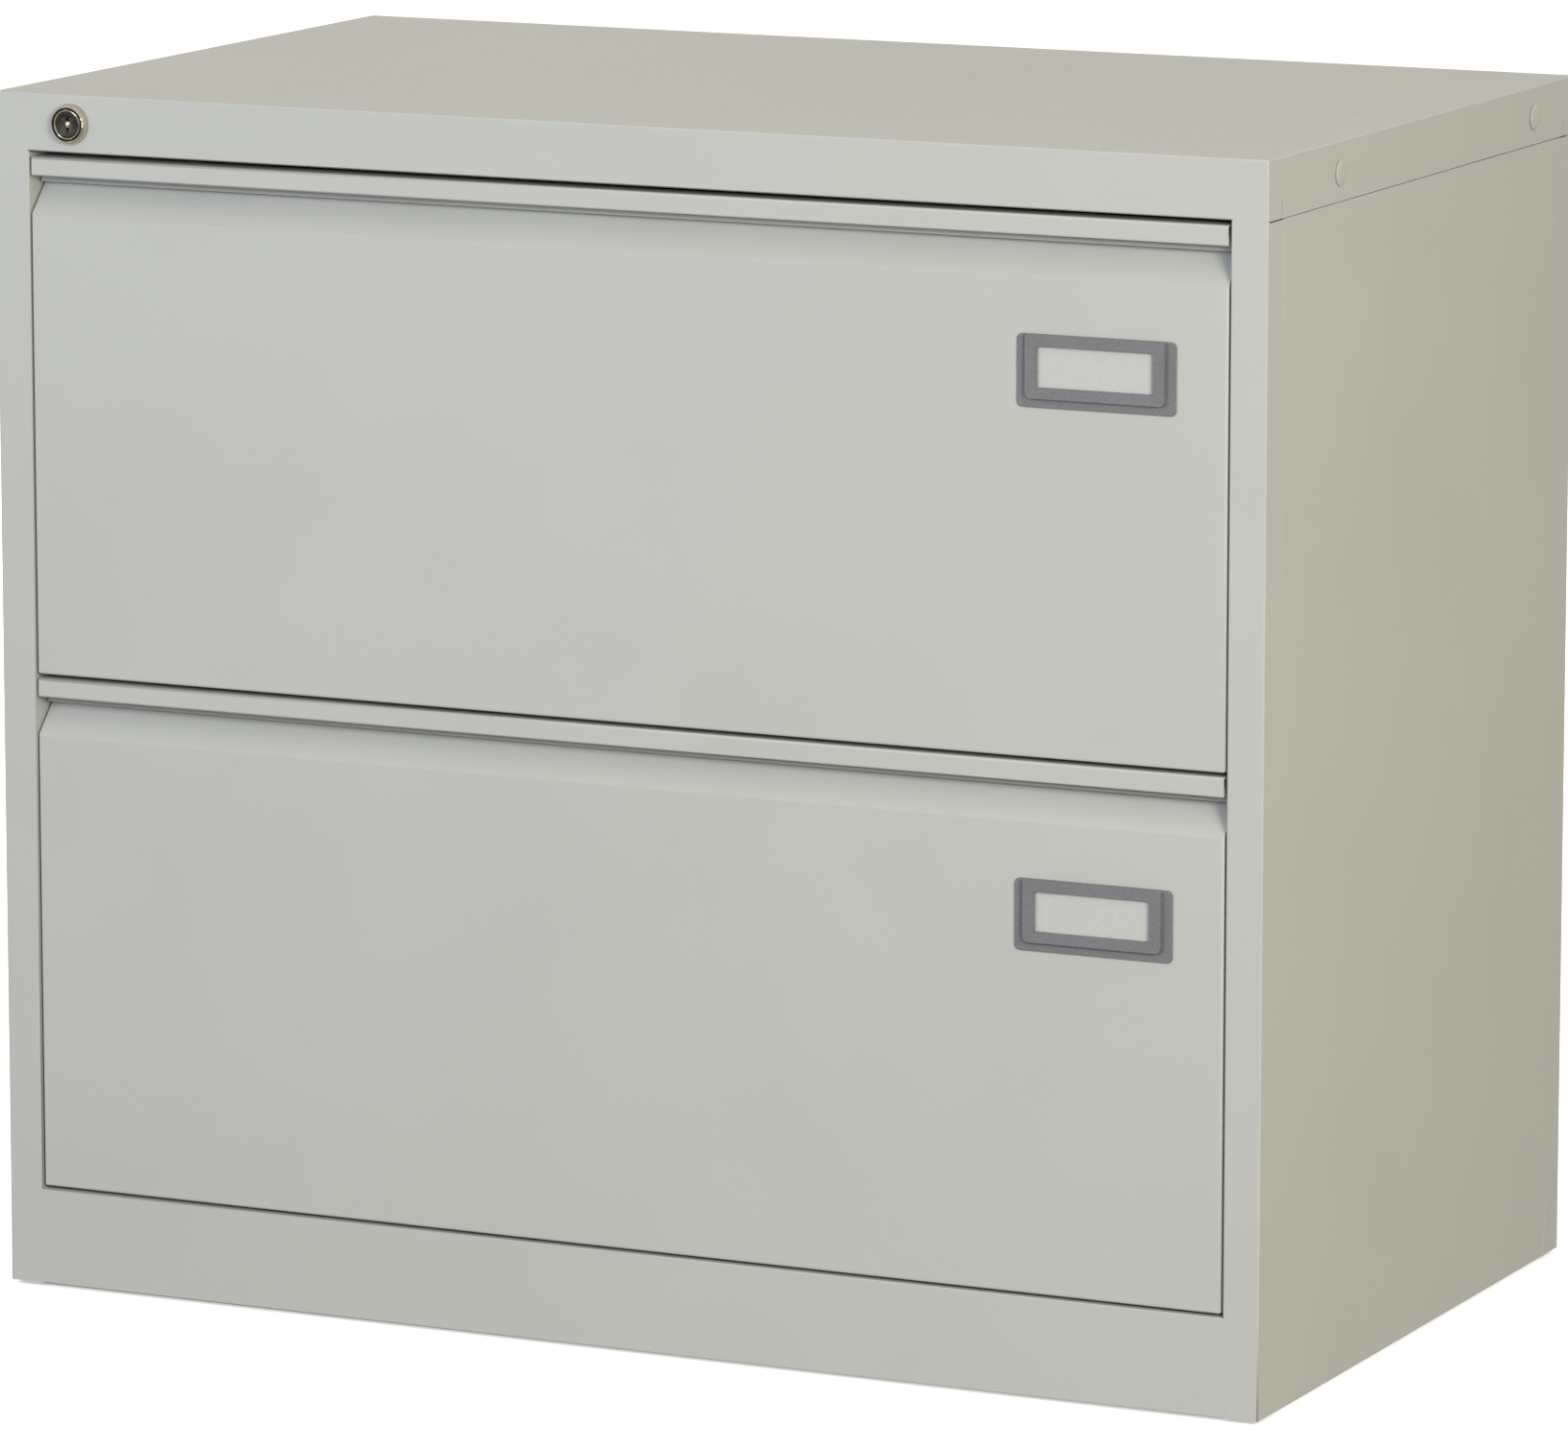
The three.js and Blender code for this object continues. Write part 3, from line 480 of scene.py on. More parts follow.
def case_skin(s):
    """The middle surface of the whole painted shell, with its folds bent and its seams cut."""
    t = s.sheet / 2
    bm = bmesh.new()
    low = Vector((t - HALF, FRONT + t, BOTTOM + t))
    high = Vector((HALF - t, BACK - t, TOP - t))
    add_block(bm, low, high)
    inner, sill, head = OPENING_HALF + t, PLINTH_TOP - t, SEAM + t
    fold_front, fold_back = FRONT + FOLD_SETBACK, BACK - FOLD_SETBACK
    slice_at(bm, 0, -inner, inner)
    slice_at(bm, 1, fold_front, fold_back)
    slice_at(bm, 2, sill, SEAM, head)
    drop_faces(bm, lambda c: near(c.z, low.z))
    drop_faces(bm, lambda c: near(c.y, high.y) and c.z < SEAM)
    drop_faces(bm, lambda c: near(c.y, low.y) and abs(c.x) < inner and sill < c.z < head)

    def rim(axis, level, spans):
        """Open edges at a level of an axis, each of whose ends is within the spans (axis, least, most)."""
        found = [e for e in bm.edges if e.is_boundary and level_along(e, axis, level)]
        return [
            e for e in found
            if all(least - TINY < v.co[a] < most + TINY for v in e.verts for a, least, most in spans)
        ]

    opening_width = (0, -inner, inner)
    inside = pull_edges(bm, rim(1, low.y, [opening_width, (2, sill, high.z)]), (0, s.rail_return - t, 0))
    stiles = [e for e in inside if level_along(e, 0, inner) or level_along(e, 0, -inner)]
    pull_edges(bm, stiles, (0, s.stile_return - s.rail_return, 0))
    plinth = rim(1, low.y, [opening_width, (2, low.z, low.z)])
    pull_edges(bm, plinth, (0, s.rail_return - t, 0))
    for _, sign in SIDES:
        side = sign * high.x
        under = rim(0, side, [(1, fold_front, fold_back), (2, low.z, low.z)])
        pull_edges(bm, under, (-sign * (s.bottom_fold - t), 0, 0))
        behind = rim(0, side, [(1, high.y, high.y), (2, low.z, SEAM)])
        pull_edges(bm, behind, (-sign * (s.rear_fold - t), 0, 0))
    round_edges(bm, folds(bm), s.bend, s.bend_steps)

    # The seam in the sides, with the side panel's edge stepped in behind the skirt
    gap_low = SEAM - s.seam_gap
    bend_end = FRONT + t + s.bend + TINY
    slice_at(bm, 1, bend_end)
    slice_at(bm, 2, gap_low)
    drop_faces(bm, lambda c: gap_low < c.z < SEAM and abs(c.x) > HALF - STILE_FACE and c.y > bend_end)
    for _, sign in SIDES:
        edge = rim(0, sign * high.x, [(1, fold_front, fold_back), (2, gap_low, gap_low)])
        pull_edges(bm, edge, (-sign * TONGUE_STEP, 0, 0), (0, 0, TONGUE_HEIGHT))
    slit_top = SEAM + s.slit_height
    slice_at(bm, 2, slit_top)
    for middle in (FRONT + s.front_slit, BACK - s.rear_slit):
        first, last = middle - s.slit_width / 2, middle + s.slit_width / 2
        slice_at(bm, 1, first, last)
        drop_faces(bm, lambda c: near(abs(c.x), high.x) and SEAM < c.z < slit_top and first < c.y < last)
    return bm


def on_tongue(centre):
    """Whether a face is on the step behind the skirt."""
    inward = HALF - abs(centre.x)
    return TONGUE_NEAR < inward < TONGUE_FAR and centre.z < SEAM + TONGUE_HEIGHT + MM


def on_plinth(centre):
    return abs(centre.x) < OPENING_HALF + TINY and centre.z < PLINTH_TOP + TINY


def on_side(centre, sign):
    below = centre.z < SEAM or on_tongue(centre)
    return sign * centre.x > OPENING_HALF - SIDE_REACH and below and not on_plinth(centre)


PANELS = (
    ("top_panel_skin", "top_panel", lambda c: c.z > SEAM and not on_tongue(c)),
    ("plinth_rail_skin", "plinth_rail", on_plinth),
    ("left_side_skin", "left_side_panel", lambda c: on_side(c, -1)),
    ("right_side_skin", "right_side_panel", lambda c: on_side(c, 1)),
)


class CABINET_OT_case(bpy.types.Operator):
    """Builds the painted shell: top panel, side panels with their stiles, and plinth rail"""

    bl_idname = "cabinet.case"
    bl_label = "Case Shell"

    def execute(self, context):
        s = sizes()
        skin = case_skin(s)
        for name, node, wanted in PANELS:
            bm = skin.copy()
            drop_faces(bm, lambda c: not wanted(c))
            add_piece(name, bm, "case", PAINT, [node], sheet=s.sheet)
        skin.free()
        return {"FINISHED"}


class CABINET_OT_back(bpy.types.Operator):
    """Builds the back panel and the rivets that hold it"""

    bl_idname = "cabinet.back"
    bl_label = "Back Panel"

    def execute(self, context):
        s = sizes()
        low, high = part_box("back_panel")
        middle = (low.y + high.y) / 2
        flange = middle - 8 * MM
        section = [(x, y, low.z) for x, y in (
            (low.x, flange), (low.x, middle), (high.x, middle), (high.x, flange)
        )]
        run = (0, 0, high.z - low.z)
        bent_sheet("back_panel_sheet", "back_panel", "case", section, run, s.sheet, s.bend)
        bm = bmesh.new()
        rows, columns, margin, end_margin = 6, 7, 40 * MM, 60 * MM
        for _, sign in SIDES:
            for row in range(rows):
                z = BOTTOM + margin + row * (SEAM - BOTTOM - 2 * margin) / (rows - 1)
                rivet_head(bm, (sign * (HALF - s.rear_fold / 2), BACK, z), (0, 1, 0), s.rivet)
        for column in range(columns):
            x = (column / (columns - 1) - 0.5) * 2 * (HALF - end_margin)
            rivet_head(bm, (x, BACK, SEAM + 12 * MM), (0, 1, 0), s.rivet)
        add_piece("back_panel_rivets", bm, "case", PAINT)
        return {"FINISHED"}


class CABINET_OT_hole_plugs(bpy.types.Operator):
    """Builds the domed plugs in the top panel's skirt"""

    bl_idname = "cabinet.hole_plugs"
    bl_label = "Hole Plugs"

    def execute(self, context):
        for side, sign in SIDES:
            for place in PLACES:
                node = f"{side}_{place}_hole_plug"
                low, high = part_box(node)
                r = (high.z - low.z) / 2
                proud = (high.x if sign > 0 else -low.x) - HALF
                lift = 0.35 * MM
                neck = [(0.8 * r, -2.5 * MM), (0.84 * r, lift), (r, lift), (r, lift + 0.2 * proud)]
                cap = [(0.93, 0.66), (0.78, 0.86), (0.5, 0.97), (0, 1)]
                profile = neck + [(share * r, rise * proud) for share, rise in cap]
                centre = (sign * HALF, (low.y + high.y) / 2, (low.z + high.z) / 2)
                bm = bmesh.new()
                add_turned(bm, profile, facing(centre, (sign, 0, 0)), 40, 0.12 * MM, 40)
                add_piece(f"{node}_cap", bm, "case", PAINT, [node])
        return {"FINISHED"}


# ---- drawers


def front_section(s, base, top):
    """The middle line of the drawer front's sheet as (depth, height), from the bottom fold to the hem."""
    t = s.sheet
    face = [
        (s.pull_depth + t, base),
        (0, base),
        (0, top - s.pull_height),
        (s.pull_depth, top - s.pull_wall),
        (s.pull_depth, top - t),
        (t, top - t),
        (t, top - s.lip),
    ]
    line = moved_path(face, -t / 2)
    lip = line[-2].x
    line[-1] = Vector((lip, top - s.lip + t / 2))
    turned_back = lip + 1.15 * t
    return line + [Vector((turned_back, top - s.lip + t / 2)), Vector((turned_back, top - s.lip + s.hem))]


def drawer_front(s, drawer):
    """The folded front skin with its finger pull, lip, hem and side folds."""
    t = s.sheet
    low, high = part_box(f"{drawer}_drawer_front")
    line = front_section(s, low.z, high.z)
    half = high.x - t / 2
    bm = bmesh.new()
    section = [(-half, FRONT + point.x, point.y) for point in line]
    run_section(bm, section, (2 * half, 0, 0))
    slope_ends = []
    for _, sign in SIDES:
        corners = []
        for point in line[:4]:
            spot = Vector((sign * half, FRONT + point.x, point.y))
            corners.append(min(bm.verts, key=lambda v: (v.co - spot).length))
        slope_ends.append(set(corners[2:]))
        bmesh.ops.contextual_create(bm, geom=corners)
    turns = [e for e in folds(bm) if set(e.verts) not in slope_ends]
    hem = [e for e in turns if level_along(e, 2, high.z - s.lip + t / 2)]
    square = [e for e in turns if e not in hem and e.calc_face_angle(0) > math.radians(70)]
    round_edges(bm, hem, 0.57 * t, 4)
    round_edges(bm, [e for e in square if e.is_valid], s.bend, s.bend_steps)
    slope_levels = (high.z - s.pull_height, high.z - s.pull_wall)
    slope = [
        e for e in folds(bm, 30)
        if abs(e.verts[0].co.x - e.verts[1].co.x) > half
        and min(abs(e.verts[0].co.z - level) for level in slope_levels) < 1.5 * MM
        and not any(face.smooth for face in e.link_faces)
    ]
    round_edges(bm, slope, s.bend * 0.5, s.bend_steps)
    return bm


class CABINET_OT_drawer_fronts(bpy.types.Operator):
    """Builds the folded drawer fronts"""

    bl_idname = "cabinet.drawer_fronts"
    bl_label = "Drawer Fronts"

    def execute(self, context):
        s = sizes()
        for drawer in DRAWERS:
            body = f"{drawer}_drawer"
            node = f"{body}_front"
            front = drawer_front(s, drawer)
            add_piece(f"{node}_skin", front, body, PAINT, [node], sheet=s.sheet)
        return {"FINISHED"}


class CABINET_OT_label_holders(bpy.types.Operator):
    """Builds the moulded label holders and their cards"""

    bl_idname = "cabinet.label_holders"
    bl_label = "Label Holders"
    corner, corner_steps = 3.4 * MM, 8

    def execute(self, context):
        for drawer in DRAWERS:
            node = f"{drawer}_label_holder"
            low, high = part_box(node)
            card_low, card_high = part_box(f"{drawer}_label_card")
            bm = bmesh.new()
            self.plate(bm, low, high)
            self.frame_ring(bm, low, high)
            self.card_slot(bm, high.z, card_low, card_high)
            add_piece(f"{node}_moulding", bm, f"{drawer}_drawer", "holder_plastic", [node])
            bm = bmesh.new()
            add_block(bm, card_low, card_high, 0.1 * MM, 1)
            for axis, parts in ((0, 8), (2, 4)):
                part = (card_high[axis] - card_low[axis]) / parts
                slice_at(bm, axis, *[card_low[axis] + k * part for k in range(1, parts)])
            card = f"{drawer}_label_card"
            add_piece(f"{card}_sheet", bm, f"{drawer}_card", "label_card", [card])
        return {"FINISHED"}

    def plate(self, bm, low, high):
        """The flat back plate, round at its corners."""
        face = FRONT - 1.1 * MM
        made = add_block(bm, (low.x, face, low.z), (high.x, FRONT, high.z))
        round_edges(bm, depth_edges(made), self.corner, self.corner_steps)
        round_edges(bm, [e for e in folds(bm, 40) if level_along(e, 1, face)], 0.5 * MM, 3)

    def frame_ring(self, bm, low, high):
        """The raised bezel round the window."""
        before = set(bm.verts)
        edge, foot = 6 * MM, 5.3 * MM
        outer_low = (low.x + edge, low.y, low.z + foot)
        outer_high = (high.x - edge, FRONT - 1.0 * MM, high.z)
        corners = depth_edges(add_block(bm, outer_low, outer_high))
        lower = [e for e in corners if near(e.verts[0].co.z, outer_low[2])]
        upper = [e for e in corners if e not in lower]
        round_edges(bm, lower, self.corner, self.corner_steps)
        round_edges(bm, [e for e in upper if e.is_valid], 1.2 * MM, 5)
        faces = {face for vert in bm.verts if vert not in before for face in vert.link_faces}
        front = [face for face in faces if near(face.calc_center_median().y, low.y)]
        bmesh.ops.delete(bm, geom=front, context="FACES_ONLY")
        rim = [e for e in bm.edges if e.is_boundary and e.verts[0] not in before]
        left, right = low.x + 13 * MM, high.x - 13 * MM
        sill, head = low.z + 11.7 * MM, high.z - 6.6 * MM
        points = ((left, sill), (right, sill), (right, head), (left, head))
        corners = [bm.verts.new((x, low.y, z)) for x, z in points]
        window = [bm.edges.new((corners[k], corners[(k + 1) % 4])) for k in range(4)]
        bmesh.ops.triangle_fill(bm, use_beauty=True, use_dissolve=False, edges=rim + window)
        covered = [f for f in bm.faces if len(f.verts) == 3 and all(v in corners for v in f.verts)]
        bmesh.ops.delete(bm, geom=covered, context="FACES_ONLY")
        window = [e for e in edges_among(corners) if len(e.link_faces) == 1]
        pull_edges(bm, window, (0, 1.9 * MM, 0))
        sharp = [e for e in folds(bm, 40) if e.verts[0] not in before and level_along(e, 1, low.y)]
        round_edges(bm, sharp, 0.55 * MM, 3)

    def card_slot(self, bm, top, card_low, card_high):
        """The slot in the bezel's top that the card slides out of."""
        play = 0.15 * MM
        first, last = card_low.x - play, card_high.x + play
        front, rear = card_low.y - play, card_high.y + 0.02 * MM
        slice_at(bm, 0, first, last)
        slice_at(bm, 1, front, rear)
        drop_faces(bm, lambda c: near(c.z, top) and first < c.x < last and front < c.y < rear)
        mouth = [e for e in bm.edges if e.is_boundary and level_along(e, 2, top)]
        pull_edges(bm, mouth, (0, 0, -4 * MM))


class CABINET_OT_trays(bpy.types.Operator):
    """Builds the drawer trays, their backs, inner skins and hanging-file rails"""

    bl_idname = "cabinet.trays"
    bl_label = "Trays"

    def execute(self, context):
        s = sizes()
        t = s.sheet / 2
        for drawer in DRAWERS:
            body = f"{drawer}_drawer"
            self.tray(s, body, t)
            self.back(s, body, t)
            self.liner(s, body, t)
            for place in PLACES:
                self.file_rail(s, drawer, body, place)
        return {"FINISHED"}

    def tray(self, s, body, t):
        low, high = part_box(f"{body}_tray")
        fold = 10 * MM
        side, floor, top = high.x - t, low.z + t, high.z - t
        corner = [(-side, floor), (-side, top), (fold - side, top)]
        section = corner[::-1] + [(-x, z) for x, z in corner]
        points = [(x, low.y, z) for x, z in section]
        run = (0, high.y - low.y, 0)
        bent_sheet(f"{body}_tray_sheet", f"{body}_tray", body, points, run, s.sheet, s.bend)

    def back(self, s, body, t):
        low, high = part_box(f"{body}_back")
        wall, top, flange = high.y - t, high.z - t, high.z - 5 * MM
        section = [(wall, low.z), (wall, top), (low.y, top), (low.y, flange)]
        points = [(low.x, y, z) for y, z in section]
        run = (high.x - low.x, 0, 0)
        bent_sheet(f"{body}_back_sheet", f"{body}_back", body, points, run, s.sheet, s.bend)

    def liner(self, s, body, t):
        low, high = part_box(f"{body}_front_liner")
        wall, floor = high.y - t, low.z + t
        bm = bmesh.new()
        section = [(low.x + t, y, z) for y, z in ((low.y, floor), (wall, floor), (wall, high.z))]
        run_section(bm, section, (high.x - low.x - s.sheet, 0, 0))
        fold_top = high.z - 38 * MM
        slice_at(bm, 2, fold_top)
        for _, sign in SIDES:
            edge = [
                e for e in bm.edges
                if e.is_boundary and level_along(e, 0, sign * (high.x - t)) and level_along(e, 1, wall)
                and max(v.co.z for v in e.verts) < fold_top + TINY
            ]
            pull_edges(bm, edge, (0, low.y - wall, 0))
        bmesh.ops.remove_doubles(bm, verts=bm.verts, dist=TINY)
        round_edges(bm, folds(bm), s.bend * 0.6, s.bend_steps)
        node = f"{body}_front_liner"
        add_piece(f"{node}_sheet", bm, body, PAINT, [node], sheet=s.sheet)

    def file_rail(self, s, drawer, body, place):
        node = f"{drawer}_{place}_file_rail"
        low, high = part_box(node)
        sheet, rim = 2 * MM, 0.35 * MM
        wall, floor = low.y + sheet / 2, low.z + sheet / 2
        section = [(low.x, y, z) for y, z in ((high.y, floor), (wall, floor), (wall, high.z))]
        run, bend = (high.x - low.x, 0, 0), s.bend * 1.6
        bent_sheet(f"{node}_strip", node, body, section, run, sheet, bend, ZINC, rim)


# ---- runners


MEMBER_SHEET = 1.2 * MM


class CABINET_OT_runners(bpy.types.Operator):
    """Builds the three-part ball runners with their balls and cages"""

    bl_idname = "cabinet.runners"
    bl_label = "Ball Runners"

    def execute(self, context):
        for drawer in DRAWERS:
            for side, sign in SIDES:
                self.runner(drawer, side, sign)
        return {"FINISHED"}

    def member(self, name, node, body, sign, outward):
        """One channel of the runner, its flanges hollowed for the balls."""
        low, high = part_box(node)
        t = MEMBER_SHEET / 2
        web, tip = (high.x - t, low.x) if sign * outward > 0 else (low.x + t, high.x)
        middle = (low.z + high.z) / 2
        top = high.z - t
        flare = 0.9 * MM
        inward = (tip + web) / 2
        upper = [(tip, top - flare), (inward, top), (web, top - flare)]
        section = upper + [(x, 2 * middle - z) for x, z in reversed(upper)]
        bm = bmesh.new()
        run_section(bm, [(x, low.y, z) for x, z in section], (0, high.y - low.y, 0))
        round_edges(bm, folds(bm, 60), 1.1 * MM, 4)
        round_edges(bm, [e for e in folds(bm, 12) if level_along(e, 0, inward)], 1.6 * MM, 4)
        add_piece(name, bm, body, ZINC, [node], sheet=MEMBER_SHEET)

    def runner(self, drawer, side, sign):
        prefix = f"{drawer}_{side}_runner"
        drawer_body = f"{drawer}_drawer"
        self.member(f"{prefix}_outer_channel", f"{prefix}_outer", "case", sign, 1)
        self.member(f"{prefix}_middle_channel", f"{prefix}_middle", prefix, sign, 1)
        self.member(f"{prefix}_inner_channel", f"{prefix}_inner", drawer_body, sign, -1)
        outer, middle, inner = (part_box(f"{prefix}_{member}") for member in ("outer", "middle", "inner"))
        self.cage(f"{prefix}_outer_balls", "case", outer, middle)
        self.cage(f"{prefix}_inner_balls", prefix, middle, inner)

    def cage(self, name, body, around, within):
        """Two rows of balls between two members, held by thin strips, in the front half of the runner."""
        bm = bmesh.new()
        gap = around[1].z - MEMBER_SHEET - within[1].z
        x = (max(around[0].x, within[0].x) + min(around[1].x, within[1].x)) / 2
        start, end = around[0].y + 12 * MM, (around[0].y + around[1].y) / 2 - 20 * MM
        count = 9
        radius = min(sizes().ball, gap - 0.3 * MM) / 2
        for level in (within[1].z + gap / 2, within[0].z - gap / 2):
            for index in range(count):
                y = start + (end - start) * (index + 0.5) / count
                at = Matrix.Translation((x, y, level))
                made = bmesh.ops.create_icosphere(bm, subdivisions=2, radius=radius, matrix=at)
                for face in {face for vert in made["verts"] for face in vert.link_faces}:
                    face.smooth = True
            wide, thick = 1.1 * MM, 0.25 * MM
            add_block(bm, (x - wide, start, level - thick), (x + wide, end, level + thick), 0.15 * MM)
        add_piece(name, bm, body, ZINC)


# ---- lock


class CABINET_OT_lock(bpy.types.Operator):
    """Builds the cam lock's bezel, ring, plug and barrel"""

    bl_idname = "cabinet.lock"
    bl_label = "Cam Lock"

    def execute(self, context):
        place = facing((LOCK_X, FRONT, LOCK_Z), (0, -1, 0))
        proud = FRONT - LOCK_LOW.y
        r = (LOCK_HIGH.x - LOCK_LOW.x) / 2
        barrel = LOCK_HIGH.y - FRONT
        groove_out, groove_in, bore = 9.9 * MM, 8.65 * MM, 7.5 * MM
        dome = [(r, 0)]
        crest, edge, dome_steps = groove_out + 0.2 * MM, 0.35 * MM, 6
        for step in range(dome_steps + 1):
            share = step / dome_steps
            angle = QUARTER * share
            reach, rise = (math.cos(angle) + 1 - share) / 2, (math.sin(angle) + share) / 2
            dome.append((crest + (r - crest) * reach, edge + (proud - edge) * rise))
        groove_floor, core = proud - 1.6 * MM, 9.3 * MM
        profile = dome + [
            (groove_out, proud - 0.1 * MM), (groove_out, groove_floor), (groove_in, groove_floor),
            (groove_in, proud - 0.35 * MM), (groove_in - 0.15 * MM, proud - 0.1 * MM),
            (groove_in - 0.45 * MM, proud), (bore + 0.4 * MM, proud - 0.12 * MM), (bore, proud - 0.7 * MM),
            (bore, -barrel), (core, -barrel), (core, -0.1 * MM), (r, 0),
        ]
        bm = bmesh.new()
        add_turned(bm, profile, place, 72)
        self.thread(bm, place, barrel)
        add_piece("lock_bezel", bm, "case", "chrome", ["lock_housing"])
        bm = bmesh.new()
        inner, outer = groove_in + 0.05 * MM, groove_out - 0.05 * MM
        deep, face = proud - 1.5 * MM, proud - 1.25 * MM
        ring = [(inner, deep), (outer, deep), (outer, face), (inner, face), (inner, deep)]
        add_turned(bm, ring, place, 64)
        add_piece("lock_ring", bm, "case", "foot_plastic")
        self.plug(place, proud)
        return {"FINISHED"}

    def thread(self, bm, place, barrel):
        """Rings of the barrel's thread."""
        pitch, start, root, crest = 1.0 * MM, -2 * MM, 9.25 * MM, 9.55 * MM
        profile = []
        turns = int((barrel - 3 * MM) / pitch)
        for turn in range(turns):
            z = start - turn * pitch
            profile += [(root, z), (crest, z - pitch / 2)]
        profile.append((root, start - turns * pitch))
        add_turned(bm, profile, place, 40)

    def plug(self, place, proud):
        """The turning plug: a dished face with a keyhole and its shutter."""
        face = proud - 0.3 * MM
        radius, spindle = 7.3 * MM, 3.5 * MM
        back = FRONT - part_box("lock_plug")[1].y
        tail = back + 4.6 * MM
        bm = bmesh.new()
        well, floor = 2.1 * MM, face - 1.3 * MM
        profile = [
            (0, floor), (well, floor), (well, face - 0.75 * MM), (well + 0.15 * MM, face - 0.6 * MM),
            (radius - 1.3 * MM, face - 0.35 * MM), (radius - 0.5 * MM, face),
            (radius - 0.15 * MM, face - 0.05 * MM), (radius, face - 0.3 * MM), (radius, tail),
            (spindle, tail), (spindle, back), (0, back),
        ]
        add_turned(bm, profile, place, 64)
        self.keyhole(bm, 0.8 * MM, 3.5 * MM, 3 * MM)
        add_piece("lock_plug_face", bm, "lock_plug", "lock_plug_steel", ["lock_plug"])
        bm = bmesh.new()
        shutter = well - 0.15 * MM
        dome = [(0, floor), (shutter, floor), (shutter, face - 0.9 * MM), (0.8 * shutter, face - 0.62 * MM),
                (0.45 * shutter, face - 0.48 * MM), (0, face - 0.45 * MM)]
        add_turned(bm, dome, place, 32)
        add_piece("lock_shutter", bm, "lock_plug", "chrome")

    def keyhole(self, bm, half_width, half_height, depth):
        """Cuts the keyhole's slot into the plug's face."""
        slice_at(bm, 0, LOCK_X - half_width, LOCK_X + half_width)
        slice_at(bm, 2, LOCK_Z - half_height, LOCK_Z + half_height)
        centres = {face: face.calc_center_median() for face in bm.faces}
        inside = [
            face for face, c in centres.items()
            if abs(c.x - LOCK_X) < half_width and abs(c.z - LOCK_Z) < half_height and c.y < FRONT
        ]
        made = bmesh.ops.extrude_face_region(bm, geom=inside)["geom"]
        bmesh.ops.delete(bm, geom=inside, context="FACES")
        verts = [item for item in made if isinstance(item, bmesh.types.BMVert)]
        bmesh.ops.translate(bm, verts=verts, vec=(0, depth, 0))
        for item in made:
            if isinstance(item, bmesh.types.BMFace):
                item.smooth = False


# ---- feet and fittings


class CABINET_OT_feet(bpy.types.Operator):
    """Builds the levelling feet with their studs and hexagons"""

    bl_idname = "cabinet.feet"
    bl_label = "Levelling Feet"

    def execute(self, context):
        for side, _ in SIDES:
            for place in PLACES:
                self.foot(f"{side}_{place}_foot", f"{side}_{place}_levelling_foot")
        return {"FINISHED"}

    def foot(self, body, node):
        low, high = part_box(node)
        r, tip, neck = (high.x - low.x) / 2, high.z - low.z, 8 * MM
        at = Matrix.Translation(((low.x + high.x) / 2, (low.y + high.y) / 2, low.z))
        bm = bmesh.new()
        base = [(0, 0), (r - 2 * MM, 0), (r, 1.4 * MM), (r, 4.6 * MM)]
        shoulder = [(r - 0.6 * MM, 6 * MM), (r - 7 * MM, 7.6 * MM), (8 * MM, neck), (0, neck)]
        add_turned(bm, base + shoulder, at, 48, 0.3 * MM, 35)
        add_piece(f"{body}_pad", bm, body, "foot_plastic", [node])
        bm = bmesh.new()
        pitch, root, crest = 1.25 * MM, 3.4 * MM, 4 * MM
        stud = [(0, neck)]
        z = neck
        while z < tip - 2 * pitch:
            stud += [(root, z), (crest, z + pitch / 2)]
            z += pitch
        stud += [(root, z), (3 * MM, tip), (0, tip)]
        add_turned(bm, stud, at, 24)
        nut, height = 7 * MM, 1.9 * MM
        above = at @ Matrix.Translation((0, 0, neck + MM))
        hexagon = bmesh.ops.create_cone(
            bm, cap_ends=True, segments=6, radius1=nut, radius2=nut, depth=height, matrix=above
        )["verts"]
        round_edges(bm, edges_among(hexagon), 0.3 * MM, 2)
        add_piece(f"{body}_stud", bm, body, ZINC)


class CABINET_OT_fittings(bpy.types.Operator):
    """Adds the screws that hold the runners to the rear uprights"""

    bl_idname = "cabinet.fittings"
    bl_label = "Screws"

    def execute(self, context):
        for drawer in DRAWERS:
            for side, sign in SIDES:
                low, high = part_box(f"{drawer}_{side}_runner_outer")
                web = (high.x if sign > 0 else low.x) - sign * MEMBER_SHEET
                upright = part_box(f"{side}_rear_upright")
                point = (web, (upright[0].y + upright[1].y) / 2, (low.z + high.z) / 2)
                bm = bmesh.new()
                pan_screw(bm, point, (-sign, 0, 0), 6 * MM)
                add_piece(f"{drawer}_{side}_runner_screws", bm, "case", ZINC)
        return {"FINISHED"}


class CABINET_OT_carried(bpy.types.Operator):
    """Gives the frame's own pieces that still show their finishes"""

    bl_idname = "cabinet.carried"
    bl_label = "Inner Pieces"

    def execute(self, context):
        # The first word found in a node's name gives its slot
        slots = (("guide", "guide_nylon"), ("lock_", ZINC), ("", PAINT))
        for name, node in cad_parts.items():
            if node.hide_render:
                continue
            slot = next(slot for word, slot in slots if word in name)
            node.data.materials.clear()
            node.data.materials.append(finish_of(slot))
        return {"FINISHED"}


# ---- stage


